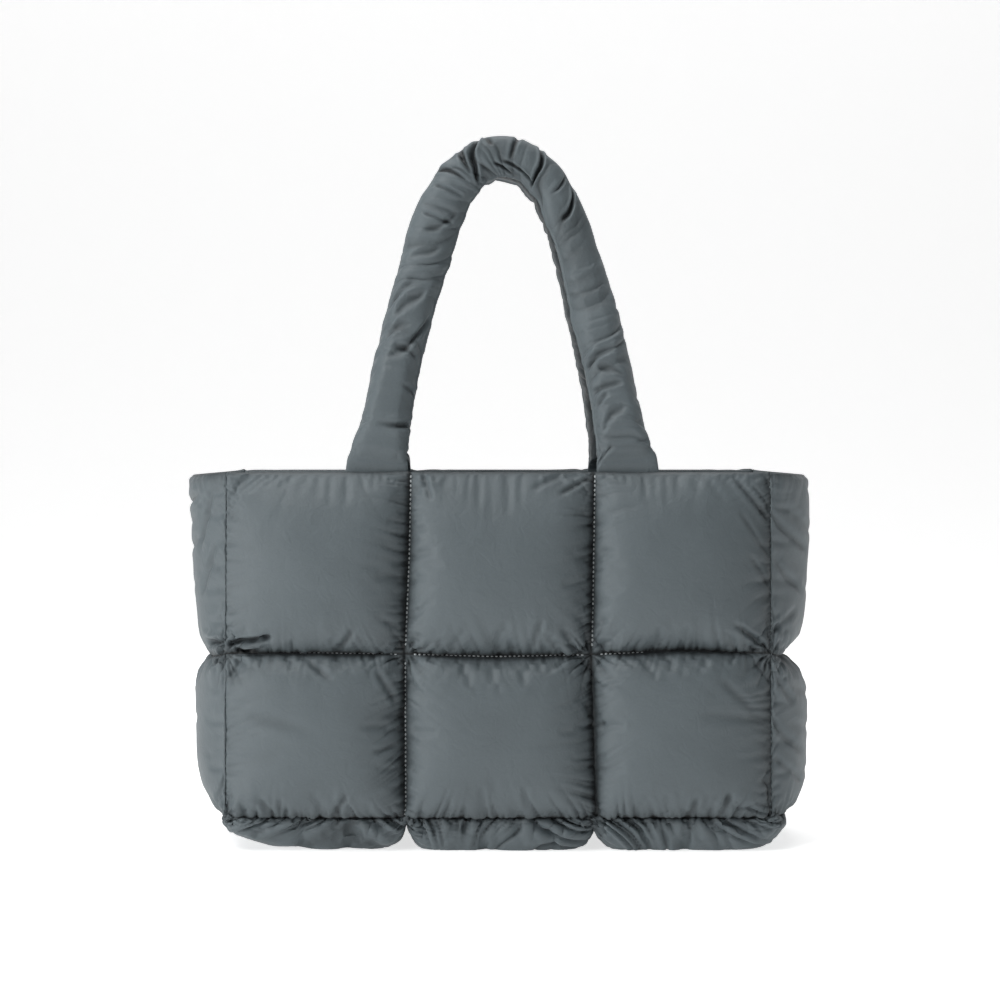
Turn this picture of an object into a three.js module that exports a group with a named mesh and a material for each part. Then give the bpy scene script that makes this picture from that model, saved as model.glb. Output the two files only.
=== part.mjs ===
// A quilted puffer tote bag, standing open on its base with both padded handles up.
// The front and back are quilted into three columns and two rows of puffs. Each end is a gusset
// of two puffs that bows outwards, and the base is a tray of three puffs. The pieces meet
// edge to edge at their seams, where the padding is stitched flat. Each handle is a padded arch
// whose flat ends lie against the inside of the rim.
import * as THREE from "three";

// Lengths are in millimetres. X runs to the right across the front, Y to the back and Z up.
// The origin is on the floor, under the middle of the bag.

// Body, from seam to seam
const BODY_WIDTH = 370; // between the two seams at the corners of the front
const BODY_DEPTH = 124; // front to back, from the base up to the row seam
const RIM_DEPTH = 114; // front rim to back rim
const RIM_HEIGHT = 257; // floor to the rim
const ROW_SEAM_HEIGHT = 134; // floor to the seam between the two rows
const BASE_SEAM_HEIGHT = 19; // floor to the seam around the base
const COLUMNS = 3; // puffs across the front, the back and the base

// Seams
const SEAM_THICKNESS = 3; // padding and cloth where they are stitched flat
const SEAM_GAP = 0.3; // clearance between two pieces sewn together

// Puffs: how far the cloth stands off its seams
const PANEL_PUFF = 20; // front and back, outwards
const GUSSET_PUFF = 7; // ends, outwards
const BASE_PUFF = 22; // base, downwards, before the floor presses it flat
const LINING_PUFF = 4; // every piece, inwards

// Gussets: how far an end bows out past the corner seams
const GUSSET_BOW_RIM = 31;
const GUSSET_BOW_ROW = 20;
const GUSSET_BOW_BASE = 5;
const GUSSET_RIM_DIP = 6; // the gusset's rim hangs this far below the front's
const BASE_DROP = 5; // the base's seams hang this far below the seam around it
const BASE_OVERHANG = 0.3; // share of BASE_PUFF that the base swells past its front, back and ends

// Handles
const HANDLE_SPREAD = 173; // leg to leg, centre to centre, at the rim
const HANDLE_RISE = 216; // rim to the centre of the arch's top
const HANDLE_WIDTH = 33; // seen from the front, where it is padded
const HANDLE_THICKNESS = 27; // front to back, where it is padded
const HANDLE_TAB_WIDTH = 44; // flat sewn end
const HANDLE_TAB_THICKNESS = 3;
const HANDLE_TAB_LENGTH = 24; // stretch of the flat end below the rim
const HANDLE_TOP_GAP = 2; // between the two handles where they lean together
const BAND_MARGIN = 16; // flat band inside the rim that shows below the handles' ends

// How finely the pieces are faceted
const STEPS_PER_PUFF = 8;
const STEPS_ROUND_GUSSET = 10;
const STEPS_ROUND_BASE = 12;
const HANDLE_SIDES = 12;
const HANDLE_STEPS = 64;

// Profile of a puff beside each kind of seam. A puff rises as (1 - distance^power)^(1 / root).
const SEAM_EDGE = { power: 2.6, root: 2 }; // quilting seam: a deep, narrow crease
const CORNER_EDGE = { power: 3, root: 1.25 }; // corner seam: a shallow crease
const HEM_EDGE = { power: 2.4, root: 1.1 }; // rim: the padding fades out gently

// Places where the cloth is drawn in. across and up are shares of the panel's width and of the
// height between its base seam and its rim; depth is a share of PANEL_PUFF and reach of a column.
const ROW_SEAM_SHARE = (ROW_SEAM_HEIGHT - BASE_SEAM_HEIGHT) / (RIM_HEIGHT - BASE_SEAM_HEIGHT);
const PANEL_DENTS = [
  { across: 0.0, up: ROW_SEAM_SHARE, depth: 0.45, reach: 0.24 },
  { across: 1 / COLUMNS, up: ROW_SEAM_SHARE, depth: 0.4, reach: 0.2 },
  { across: 2 / COLUMNS, up: ROW_SEAM_SHARE, depth: 0.4, reach: 0.22 },
  { across: 1.0, up: ROW_SEAM_SHARE, depth: 0.5, reach: 0.26 },
  { across: 0.93, up: 0.86, depth: 0.16, reach: 0.2 },
  { across: 0.62, up: 0.97, depth: 0.14, reach: 0.16 },
];

// Centre line of one handle leg, from the rim to the top of the arch. out is a share of half
// the spread, up of the rise, lean of the way to the bag's middle and fill of the padding.
const HANDLE_STATIONS = [
  { out: 1.0, up: 0.0, lean: 0.0, fill: 0.0 },
  { out: 1.0, up: 0.03, lean: 0.03, fill: 0.04 },
  { out: 0.98, up: 0.08, lean: 0.11, fill: 0.38 },
  { out: 0.94, up: 0.17, lean: 0.26, fill: 0.72 },
  { out: 0.87, up: 0.32, lean: 0.48, fill: 0.95 },
  { out: 0.78, up: 0.48, lean: 0.68, fill: 1.0 },
  { out: 0.67, up: 0.64, lean: 0.84, fill: 1.0 },
  { out: 0.535, up: 0.8, lean: 0.94, fill: 1.0 },
  { out: 0.36, up: 0.925, lean: 0.99, fill: 1.0 },
  { out: 0.19, up: 0.98, lean: 1.0, fill: 0.98 },
  { out: 0.0, up: 1.0, lean: 1.0, fill: 0.95 },
];

// Creases across a handle, from its left end. along is a share of its length, depth of its
// width and half of its reach is a share of its width too.
const HANDLE_CREASES = [
  { along: 0.12, depth: 0.03, reach: 0.4 },
  { along: 0.3, depth: 0.05, reach: 0.3 },
  { along: 0.41, depth: 0.1, reach: 0.22 },
  { along: 0.45, depth: 0.12, reach: 0.2 },
  { along: 0.505, depth: 0.07, reach: 0.2 },
  { along: 0.55, depth: 0.12, reach: 0.2 },
  { along: 0.61, depth: 0.09, reach: 0.24 },
  { along: 0.66, depth: 0.06, reach: 0.3 },
  { along: 0.87, depth: 0.03, reach: 0.4 },
];

const shell = new THREE.MeshStandardMaterial({ name: "shell_cloth", color: 0x646c6f, roughness: 0.6, metalness: 0 });
const strap = new THREE.MeshStandardMaterial({ name: "handle_cloth", color: 0x61696c, roughness: 0.6, metalness: 0 });

const halfSeam = SEAM_THICKNESS / 2;
const halfGap = SEAM_GAP / 2;
const { lerp, clamp } = THREE.MathUtils;

// Height of a puff over its seams at share s of the way across it, from 0 to 1.
function swell(s, first, last) {
  const edge = s < 0.5 ? first : last;
  const distance = Math.abs(2 * s - 1);
  return Math.max(0, 1 - distance ** edge.power) ** (1 / edge.root);
}

// Smooth hollow of depth 1 at distance 0 that fades out at distance 1.
function hollow(distance) {
  return distance >= 1 ? 0 : (1 - distance * distance) ** 2;
}

// Spreads a share along a row of puffs so that its steps crowd near the seams. The result has
// the share along the whole row, the puff's number and the share across that puff.
function alongPuffs(share, edges) {
  const count = edges.length - 1;
  const number = Math.min(count - 1, Math.floor(share * count + 1e-6));
  const even = clamp(share * count - number, 0, 1);
  const across = (1 - Math.cos(Math.PI * even)) / 2;
  return { whole: lerp(edges[number], edges[number + 1], across), number, across };
}

// Half the distance from the front seam to the back seam at a height above the floor.
function halfDepthAt(z) {
  const share = clamp((z - ROW_SEAM_HEIGHT) / (RIM_HEIGHT - ROW_SEAM_HEIGHT), 0, 1);
  return lerp(BODY_DEPTH, RIM_DEPTH, share) / 2;
}

// How far the gusset bows past the corner seams at a height above the floor: a straight taper
// in the upper row, and a rounded corner towards the base in the lower one.
function gussetBowAt(z) {
  const roundness = 5;
  if (z >= ROW_SEAM_HEIGHT) {
    const share = clamp((z - ROW_SEAM_HEIGHT) / (RIM_HEIGHT - ROW_SEAM_HEIGHT), 0, 1);
    return lerp(GUSSET_BOW_ROW, GUSSET_BOW_RIM, share);
  }
  const share = clamp((z - BASE_SEAM_HEIGHT) / (ROW_SEAM_HEIGHT - BASE_SEAM_HEIGHT), 0, 1);
  return lerp(GUSSET_BOW_BASE, GUSSET_BOW_ROW, 1 - (1 - share) ** roundness);
}

// A padded piece with an outer and an inner skin joined at its four edges. place gives the point
// for the shares across and up and the side, 1 for the outer skin and -1 for the inner one.
function paddedPiece(name, stepsAcross, stepsUp, place) {
  const geometry = new THREE.BoxGeometry(1, 1, 1, stepsAcross, stepsUp, 1);
  const position = geometry.getAttribute("position");
  for (let i = 0; i < position.count; i++) {
    const point = place(position.getX(i) + 0.5, position.getY(i) + 0.5, Math.sign(position.getZ(i)));
    position.setXYZ(i, point.x, point.y, point.z);
  }
  geometry.computeVertexNormals();
  const mesh = new THREE.Mesh(geometry, shell);
  mesh.name = name;
  return mesh;
}

const columnEdges = Array.from({ length: COLUMNS + 1 }, (_, i) => i / COLUMNS);
const rowEdges = [0, ROW_SEAM_SHARE, 1];

// Swell of a puff in one of the two rows, at the share across that row.
function rowSwell(row, across) {
  return row === 0 ? swell(across, SEAM_EDGE, SEAM_EDGE) : swell(across, SEAM_EDGE, HEM_EDGE);
}

// Swell of a puff in one of the columns, at the share across that column. outerEdge is the
// profile at the two ends of the row of puffs.
function columnSwell(column, across, outerEdge) {
  const first = column === 0 ? outerEdge : SEAM_EDGE;
  const last = column === COLUMNS - 1 ? outerEdge : SEAM_EDGE;
  return swell(across, first, last);
}

// How deep the dents draw the cloth in, at a share across and up the panel.
function dentDepth(across, up) {
  const columnWidth = BODY_WIDTH / COLUMNS;
  let depth = 0;
  for (const dent of PANEL_DENTS) {
    const sideways = (across - dent.across) * BODY_WIDTH;
    const upwards = (up - dent.up) * (RIM_HEIGHT - BASE_SEAM_HEIGHT);
    depth += dent.depth * hollow(Math.hypot(sideways, upwards) / (dent.reach * columnWidth));
  }
  return Math.min(depth, 1) * PANEL_PUFF;
}

// Inward swell of the lining. It fades to nothing at the flat band inside the rim, which the
// handles' ends lie against.
function liningSwell(acrossSwell, z, rim) {
  const height = rim - HANDLE_TAB_LENGTH - BAND_MARGIN - BASE_SEAM_HEIGHT;
  const share = (z - BASE_SEAM_HEIGHT) / height;
  return share <= 0 || share >= 1 ? 0 : LINING_PUFF * acrossSwell * Math.sqrt(Math.sin(Math.PI * share));
}

// One quilted face of the body, facing -Y.
function quiltedPanel(name) {
  return paddedPiece(name, COLUMNS * STEPS_PER_PUFF, 2 * STEPS_PER_PUFF, (acrossShare, upShare, side) => {
    const column = alongPuffs(acrossShare, columnEdges);
    const row = alongPuffs(upShare, rowEdges);
    const x = lerp(halfGap - BODY_WIDTH / 2, BODY_WIDTH / 2 - halfGap, column.whole);
    const z = lerp(BASE_SEAM_HEIGHT + halfGap, RIM_HEIGHT, row.whole);
    const acrossSwell = columnSwell(column.number, column.across, CORNER_EDGE);
    const puff = PANEL_PUFF * acrossSwell * rowSwell(row.number, row.across);
    const outward = Math.max(0, puff - dentDepth(column.whole, row.whole));
    const inward = liningSwell(swell(column.whole, SEAM_EDGE, SEAM_EDGE), z, RIM_HEIGHT);
    const offset = side > 0 ? halfSeam + outward : -halfSeam - inward;
    return new THREE.Vector3(x, -halfDepthAt(z) - offset, z);
  });
}

// One bowed end of the body, facing +X. It turns round a half oval from the front corner seam
// to the back one.
function gusset(name) {
  return paddedPiece(name, STEPS_ROUND_GUSSET, 2 * STEPS_PER_PUFF, (acrossShare, upShare, side) => {
    const row = alongPuffs(upShare, rowEdges);
    const turn = lerp(-Math.PI / 2, Math.PI / 2, acrossShare);
    const rim = RIM_HEIGHT - GUSSET_RIM_DIP * Math.cos(turn);
    const z = lerp(BASE_SEAM_HEIGHT + halfGap, rim, row.whole);
    const acrossSwell = swell(acrossShare, CORNER_EDGE, CORNER_EDGE);
    const outward = GUSSET_PUFF * acrossSwell * rowSwell(row.number, row.across);
    const inward = liningSwell(acrossSwell, z, rim);
    const offset = side > 0 ? halfSeam + outward : -halfSeam - inward;
    const x = BODY_WIDTH / 2 + halfGap + (gussetBowAt(z) + offset) * Math.cos(turn);
    const y = (halfDepthAt(z) + offset) * Math.sin(turn);
    return new THREE.Vector3(x, y, z);
  });
}

// The base, facing -Z: a shallow tray that curls up to the seam around it on all four sides.
function baseTray(name) {
  const curl = 10; // how late and how tightly the tray curls up at its two ends
  return paddedPiece(name, COLUMNS * STEPS_PER_PUFF, STEPS_ROUND_BASE, (acrossShare, upShare, side) => {
    const column = alongPuffs(acrossShare, columnEdges);
    const s = 2 * column.whole - 1;
    const level = (1 - Math.abs(s) ** curl) ** (1 / curl);
    const outwards = Math.sign(s) * Math.sqrt(1 - level * level);
    const turn = lerp(Math.PI / 2, -Math.PI / 2, upShare);
    const roundSwell = swell(upShare, SEAM_EDGE, SEAM_EDGE);
    const outward = BASE_PUFF * columnSwell(column.number, column.across, HEM_EDGE) * roundSwell;
    const inward = LINING_PUFF * swell(column.whole, SEAM_EDGE, SEAM_EDGE) * roundSwell;
    const down = side > 0 ? halfSeam + outward : -halfSeam - inward;
    const sideways = side > 0 ? halfSeam + BASE_OVERHANG * outward : down;
    const halfLength = BODY_WIDTH / 2 + halfGap + GUSSET_BOW_BASE * Math.cos(turn);
    const x = s * halfLength + sideways * outwards * Math.cos(turn);
    const y = (BODY_DEPTH / 2 + sideways) * Math.sin(turn);
    const z = BASE_SEAM_HEIGHT - halfGap - (BASE_DROP + down) * Math.cos(turn) * level;
    return new THREE.Vector3(x, y, Math.max(0, z));
  });
}

// Centre line of the front handle, from the bottom of its left end over the arch to its right.
function handleLine() {
  const seat = RIM_DEPTH / 2 - halfSeam - SEAM_GAP - HANDLE_TAB_THICKNESS / 2;
  const top = HANDLE_THICKNESS / 2 + HANDLE_TOP_GAP / 2;
  const slope = (BODY_DEPTH - RIM_DEPTH) / 2 / (RIM_HEIGHT - ROW_SEAM_HEIGHT);
  const tabs = [1, 0.5].map((share) => ({
    out: 1,
    y: -seat - share * HANDLE_TAB_LENGTH * slope,
    z: RIM_HEIGHT - share * HANDLE_TAB_LENGTH,
    fill: 0,
  }));
  const leg = HANDLE_STATIONS.map(({ out, up, lean, fill }) => ({
    out,
    y: -lerp(seat, top, lean),
    z: RIM_HEIGHT + up * HANDLE_RISE,
    fill,
  }));
  const left = [...tabs, ...leg];
  const right = left.slice(0, -1).reverse();
  const place = (side) => (station) =>
    new THREE.Vector3((side * station.out * HANDLE_SPREAD) / 2, station.y, station.z);
  return {
    curve: new THREE.CatmullRomCurve3([...left.map(place(-1)), ...right.map(place(1))]),
    fills: [...left, ...right].map((station) => station.fill),
  };
}

// Share of full padding at a curve parameter, eased between the stations.
function fillAt(fills, t) {
  const at = clamp(t, 0, 1) * (fills.length - 1);
  const index = Math.min(Math.floor(at), fills.length - 2);
  return lerp(fills[index], fills[index + 1], THREE.MathUtils.smoothstep(at - index, 0, 1));
}

// Coordinate of an oval section: a superellipse that grows squarer as the power grows.
function oval(value, power) {
  return Math.sign(value) * Math.abs(value) ** (2 / power);
}

// A padded handle whose two ends are pressed flat, swept along its centre line.
function handle(name) {
  const { curve, fills } = handleLine();
  const length = curve.getLength();
  const depthAxis = new THREE.Vector3(0, 1, 0);
  const geometry = new THREE.CylinderGeometry(1, 1, 1, HANDLE_SIDES, HANDLE_STEPS);
  const position = geometry.getAttribute("position");
  for (let i = 0; i < position.count; i++) {
    const share = position.getY(i) + 0.5;
    const t = curve.getUtoTmapping(share, share * length);
    const centre = curve.getPoint(t);
    const tangent = curve.getTangent(t);
    const back = depthAxis.clone().addScaledVector(tangent, -tangent.y).normalize();
    const across = new THREE.Vector3().crossVectors(tangent, back);
    const fill = fillAt(fills, t);
    let pinch = 0;
    for (const crease of HANDLE_CREASES) {
      const distance = Math.abs(share - crease.along) * length;
      pinch += crease.depth * hollow(distance / (2 * crease.reach * HANDLE_WIDTH));
    }
    const squareness = lerp(5, 2.2, fill);
    const width = lerp(HANDLE_TAB_WIDTH, HANDLE_WIDTH, fill) - pinch * HANDLE_WIDTH * fill;
    const thickness = lerp(HANDLE_TAB_THICKNESS, HANDLE_THICKNESS, fill) * (1 - pinch * fill);
    centre.addScaledVector(across, (oval(position.getX(i), squareness) * width) / 2);
    centre.addScaledVector(back, (oval(position.getZ(i), squareness) * thickness) / 2);
    position.setXYZ(i, centre.x, centre.y, centre.z);
  }
  geometry.computeVertexNormals();
  const mesh = new THREE.Mesh(geometry, strap);
  mesh.name = name;
  return mesh;
}

// The same piece for the other side of the bag: turned half a turn about Z.
function turned(mesh) {
  mesh.rotation.z = Math.PI;
  return mesh;
}

const tote = new THREE.Group();
tote.add(quiltedPanel("front_panel"));
tote.add(turned(quiltedPanel("back_panel")));
tote.add(gusset("right_gusset"));
tote.add(turned(gusset("left_gusset")));
tote.add(baseTray("base"));
tote.add(handle("front_handle"));
tote.add(turned(handle("back_handle")));

export default tote;
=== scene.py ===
"""Looks of a quilted puffer tote bag: soft covers, stitches, studio and camera.

Every length is in metres. X runs to the right across the front, Y to the back and Z up.
"""

import logging
import math
from abc import ABC, abstractmethod
from dataclasses import dataclass, field, replace
from enum import Enum
from typing import Sequence

import bpy
import numpy as np
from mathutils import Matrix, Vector


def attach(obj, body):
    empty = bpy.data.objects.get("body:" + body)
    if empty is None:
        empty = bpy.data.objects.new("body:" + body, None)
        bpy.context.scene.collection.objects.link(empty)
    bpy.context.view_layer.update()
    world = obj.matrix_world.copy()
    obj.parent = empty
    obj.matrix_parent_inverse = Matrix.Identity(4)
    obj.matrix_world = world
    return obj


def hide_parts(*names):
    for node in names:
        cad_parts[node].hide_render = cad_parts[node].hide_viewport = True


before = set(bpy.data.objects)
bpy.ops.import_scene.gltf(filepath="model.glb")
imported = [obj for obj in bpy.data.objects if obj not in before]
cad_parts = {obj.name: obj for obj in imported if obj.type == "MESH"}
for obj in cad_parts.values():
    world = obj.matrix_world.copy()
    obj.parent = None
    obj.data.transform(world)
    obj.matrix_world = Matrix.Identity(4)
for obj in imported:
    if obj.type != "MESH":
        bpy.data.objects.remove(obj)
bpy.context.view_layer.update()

Array = np.ndarray
log = logging.getLogger("puffer_tote")

BODY = "root"  # the one body of a row with no joints
SEAM_FADE = 0.004  # from a seam to where folds and slack cloth have their full height


class Side(Enum):
    """The two skins of a pad."""

    OUTER = 1
    INNER = -1


class Facing(Enum):
    """Which way round a piece is sewn on: as made, or turned half a turn about Z."""

    AS_MADE = 1.0
    TURNED = -1.0


@dataclass(frozen=True)
class EdgeProfile:
    """How a puff rises beside a seam: (1 - distance^power)^(1 / root), distance from its middle.

    Attributes:
        power: The larger, the flatter the puff's top.
        root: The larger, the steeper its side at the seam.
        flat: Share of the puff that is stitched flat beside the seam.
    """

    power: float
    root: float
    flat: float = 0.0


QUILT_SEAM = EdgeProfile(power=3.1, root=2.2, flat=0.005)
FAR_SEAM = EdgeProfile(power=3.1, root=1.75, flat=0.005)
UNDER_SEAM = EdgeProfile(power=3.1, root=3.0, flat=0.005)
CORNER_SEAM = EdgeProfile(power=2.2, root=0.87)
HEM = EdgeProfile(power=2.4, root=1.1)
BASE_END = EdgeProfile(power=4.0, root=1.6)


@dataclass(frozen=True)
class BagSizes:
    """Sizes of the sewn bag, from seam to seam.

    Attributes:
        width: Corner seam to corner seam across the front.
        depth: Front seam to back seam, from the base up to the row seam.
        rim_depth: Front rim to back rim.
        rim_height: Floor to rim.
        row_seam: Floor to the seam between the two rows of puffs.
        base_seam: Floor to the seam round the base.
        half_seam: Half the thickness of the cloth where it is stitched flat.
        half_gap: Half the clearance between two pieces sewn together.
        corner_roll: Radius of the cloth's edge at the corner seams.
        panel_puff: How far a puff of the front or back stands off its seams.
        base_puff: The same for the base, before the floor presses it flat.
        lining_puff: How far the lining swells inwards.
        bow_rim: How far an end bows out past its corner seams, at the rim.
        bow_row: The same at the row seam.
        bow_base: The same at the base seam, at the left end and at the right one.
        rim_dip: How far an end's rim hangs below the front's.
        row_dip: How far the row seam hangs at the middle of an end below its corners.
        base_drop: How far the base's own seams hang below the seam round it.
        base_overhang: Share of base_puff that the base swells past its front, back and ends.
        row_reach: Share of a wall's height over which a stray of the row seam eases off.
        band: Flat band inside the rim, under which the lining starts to swell.
    """

    width: float = 0.370
    depth: float = 0.124
    rim_depth: float = 0.114
    rim_height: float = 0.257
    row_seam: float = 0.134
    base_seam: float = 0.0225
    half_seam: float = 0.0015
    half_gap: float = 0.00005
    corner_roll: float = 0.0003
    panel_puff: float = 0.020
    base_puff: float = 0.028
    lining_puff: float = 0.004
    bow_rim: float = 0.029
    bow_row: float = 0.020
    bow_base: tuple[float, float] = (0.003, 0.012)
    rim_dip: float = 0.0025
    row_dip: float = 0.0038
    base_drop: float = 0.005
    base_overhang: float = 0.235
    row_reach: float = 0.4
    band: float = 0.040

    @property
    def wall(self) -> float:
        """Height of a wall, from the base seam to the rim."""
        return self.rim_height - self.base_seam

    @property
    def row_share(self) -> float:
        """Share of the way from the base seam up to the rim at which the row seam runs."""
        return (self.row_seam - self.base_seam) / self.wall

    def row_heights(self, puff: Array) -> Array:
        """Height of the row that each puff is in, 0 the lower one and 1 the upper one."""
        return np.where(puff == 0, self.row_share, 1 - self.row_share) * self.wall

    def beside_row(self, share: Array) -> Array:
        """1 at the row seam, eased to 0 above and below it as t^2 (3 - 2 t)."""
        level = np.clip(1 - np.abs(share - self.row_share) / self.row_reach, 0, 1)
        return level * level * (3 - 2 * level)

    def half_depth(self, z: Array) -> Array:
        """Half the way from front seam to back seam: level up to the row seam, then a straight taper.

        Args:
            z: Heights above the floor.

        Returns:
            Half depths at those heights.
        """
        share = np.clip((z - self.row_seam) / (self.rim_height - self.row_seam), 0, 1)
        return between(self.depth, self.rim_depth, share) / 2

    def bow(self, z: Array, base: float, corner: float) -> Array:
        """How far an end bows out: a straight taper above the row seam, a round corner below it.

        Args:
            z: Heights above the floor.
            base: How far it bows out at the base seam.
            corner: The larger, the tighter the corner.

        Returns:
            Distances past the corner seams. Below the row seam they follow 1 - (1 - share)^corner.
        """
        upper = np.clip((z - self.row_seam) / (self.rim_height - self.row_seam), 0, 1)
        lower = np.clip((z - self.base_seam) / (self.row_seam - self.base_seam), 0, 1)
        low = between(base, self.bow_row, 1 - (1 - lower) ** corner)
        return np.where(z >= self.row_seam, between(self.bow_row, self.bow_rim, upper), low)

    def lining(self, swell_across: Array, z: Array, rim: Array) -> Array:
        """Inward swell of the lining: the root of a half sine up the wall, flat under the rim.

        Args:
            swell_across: Swell from side to side, from 0 to 1.
            z: Heights above the floor.
            rim: Heights of the rim.

        Returns:
            How far the lining stands off the flat seam plane.
        """
        share = np.clip((z - self.base_seam) / (rim - self.band - self.base_seam), 0, 1)
        return self.lining_puff * swell_across * np.sqrt(np.sin(np.pi * share).clip(0))


def between(first: Array | float, last: Array | float, share: Array) -> Array:
    """Value at a share of the straight way from first to last."""
    return first + (last - first) * share


def hollow(distance: Array) -> Array:
    """Smooth hollow of depth 1 at distance 0 that is gone at distance 1: (1 - distance^2)^2."""
    return np.clip(1 - distance**2, 0, None) ** 2


def off_seams(sideways: Array, upwards: Array) -> Array:
    """0 on the seams of a pad, eased to 1 at SEAM_FADE from them.

    Args:
        sideways: Distance from each column of the grid to the nearest seam beside it.
        upwards: Distance from each row of the grid to the nearest seam above or below it.

    Returns:
        Hollow of 1 - distance / SEAM_FADE, for the smaller of the two distances.
    """
    nearest = np.minimum(sideways[None, :], upwards[:, None])
    return hollow(1 - np.clip(nearest / SEAM_FADE, 0, 1))


def swell(share: Array, first: EdgeProfile, last: EdgeProfile) -> Array:
    """Height of a puff across it, from 0 at its seams to 1 at its middle.

    Args:
        share: Shares of the way across the puff.
        first: Profile of the half that starts at share 0.
        last: Profile of the half that ends at share 1.

    Returns:
        Heights, (1 - |2 share - 1|^power)^(1 / root) with each half's own profile.
    """
    halves = []
    for edge in (first, last):
        from_middle = np.abs(2 * share - 1) / (1 - 2 * edge.flat)
        halves.append(np.clip(1 - from_middle**edge.power, 0, None) ** (1 / edge.root))
    return np.where(share < 0.5, *halves)


def swell_up(up: "Lines", under_row: EdgeProfile) -> Array:
    """Heights of a wall's two rows of puffs, hemmed at the rim.

    Args:
        up: Grid lines from bottom to top.
        under_row: Profile of the lower puffs under the row seam.

    Returns:
        One height for each line.
    """
    lower = swell(up.across, QUILT_SEAM, under_row)
    return np.where(up.puff == 1, swell(up.across, QUILT_SEAM, HEM), lower)


def rolled(distance: Array, radius: float) -> Array:
    """Share of full thickness near a rolled edge: a quarter circle over the given radius."""
    return np.sqrt(1 - np.clip(1 - distance / radius, 0, 1) ** 2)


@dataclass(frozen=True)
class Unevenness:
    """Smooth random values between -1 and 1, the same on each run for one seed."""

    seed: int
    knots: int = 1024

    def line(self, along: Array, pitch: float) -> Array:
        """Values along a line: random knots a pitch apart, joined by Catmull-Rom curves.

        Args:
            along: Distances along the line.
            pitch: Distance from knot to knot.

        Returns:
            One value for each distance.
        """
        values = np.random.default_rng(self.seed).uniform(-1, 1, self.knots)
        place = along / pitch + self.knots / 2
        index = np.floor(place).astype(int)
        part = place - index
        a, b, c, d = (values[(index + shift) % self.knots] for shift in (-1, 0, 1, 2))
        bend = 2 * a - 5 * b + 4 * c - d + (3 * b - a - 3 * c + d) * part
        return b + part * (c - a + part * bend) / 2

    def field(self, x: Array, y: Array, pitch: float) -> Array:
        """Values over a surface: two crossed sets of lines whose places wander with each other.

        Args:
            x: First coordinates.
            y: Second coordinates.
            pitch: Distance from knot to knot.

        Returns:
            The mean of four lines across the surface at 15, 60, 105 and 150 degrees.
        """
        total = np.zeros(np.broadcast(x, y).shape)
        for number, degrees in enumerate((15, 60, 105, 150)):
            c, s = math.cos(math.radians(degrees)), math.sin(math.radians(degrees))
            other = Unevenness(self.seed + 101 + number).line(s * x - c * y, 1.7 * pitch)
            total += Unevenness(self.seed + 11 * number).line(c * x + s * y + pitch * other, pitch)
        return total / 4


@dataclass(frozen=True)
class Gather:
    """One size of gathers beside a seam.

    Attributes:
        pitch: Distance between the random knots that make ridges and valleys.
        reach: How far the gathers run from the seam.
        depth: Height of a ridge.
    """

    pitch: float
    reach: float
    depth: float


QUILT_GATHERS = (
    Gather(pitch=0.0022, reach=0.010, depth=0.00080),
    Gather(pitch=0.0042, reach=0.018, depth=0.00090),
    Gather(pitch=0.0090, reach=0.030, depth=0.00040),
)
CORNER_GATHERS = (
    Gather(pitch=0.0026, reach=0.008, depth=0.00060),
    Gather(pitch=0.0062, reach=0.022, depth=0.00060),
)
BASE_GATHERS = (
    Gather(pitch=0.0028, reach=0.010, depth=0.00090),
    Gather(pitch=0.0052, reach=0.016, depth=0.00150),
)
LOBE_GATHERS = (
    Gather(pitch=0.0030, reach=0.024, depth=0.00190),
    Gather(pitch=0.0066, reach=0.055, depth=0.00320),
)
HEM_GATHERS = (
    Gather(pitch=0.0042, reach=0.010, depth=0.00025),
    Gather(pitch=0.0110, reach=0.028, depth=0.00045),
)


def gathered(along: Array, away: Array, sizes: Sequence[Gather], seed: int) -> Array:
    """Height of the gathers beside a seam, smallest at the seam and larger further away.

    Args:
        along: Distances along the seam.
        away: Distances from the seam.
        sizes: The sizes of gathers laid over each other.
        seed: Seed of their places.

    Returns:
        For each size, ridges 2 |wave|^0.6 - 1 of a random wave along the seam, under the
        envelope r e^(1 - r), where r is three times the distance away over a reach that varies.
    """
    lean = 0.7 * Unevenness(seed).line(along, 0.040)
    height = np.zeros(np.broadcast(along, away).shape)
    for number, size in enumerate(sizes):
        place = along + lean * away
        varied = 0.7 + 0.45 * Unevenness(seed + 31 + number).line(place, 2.4 * size.pitch)
        ratio = 3 * away / (size.reach * varied)
        wave = Unevenness(seed + 61 + number).line(place, size.pitch)
        height += size.depth * ratio * np.exp(1 - ratio) * (2 * np.abs(wave) ** 0.6 - 1)
    return height


@dataclass(frozen=True)
class Fold:
    """A crease along a straight line on a flat wall, with a ridge on both sides.

    Attributes:
        start: First end, across and up from the wall's middle and the floor.
        end: Last end.
        depth: Depth of the crease. A negative one is a ridge with a crease on both sides.
        width: Half its width.
    """

    start: tuple[float, float]
    end: tuple[float, float]
    depth: float
    width: float

    def height(self, x: Array, z: Array) -> Array:
        """Height of the crease: -depth (1 - (d / width)^2) e^(-(d / width)^2 / 1.5), faded at its ends.

        Args:
            x: Places across the wall.
            z: Heights above the floor.

        Returns:
            One height for each place.
        """
        (x0, z0), (x1, z1) = self.start, self.end
        length = math.hypot(x1 - x0, z1 - z0)
        dx, dz = (x1 - x0) / length, (z1 - z0) / length
        along = (x - x0) * dx + (z - z0) * dz
        away = ((x - x0) * dz - (z - z0) * dx) / self.width
        past = np.abs(along / length - 0.5) - 0.5
        fade = hollow(np.clip(past * length / (0.3 * length + self.width) + 0.35, 0, None))
        return -self.depth * fade * (1 - away**2) * np.exp(-(away**2) / 1.5)


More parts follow.
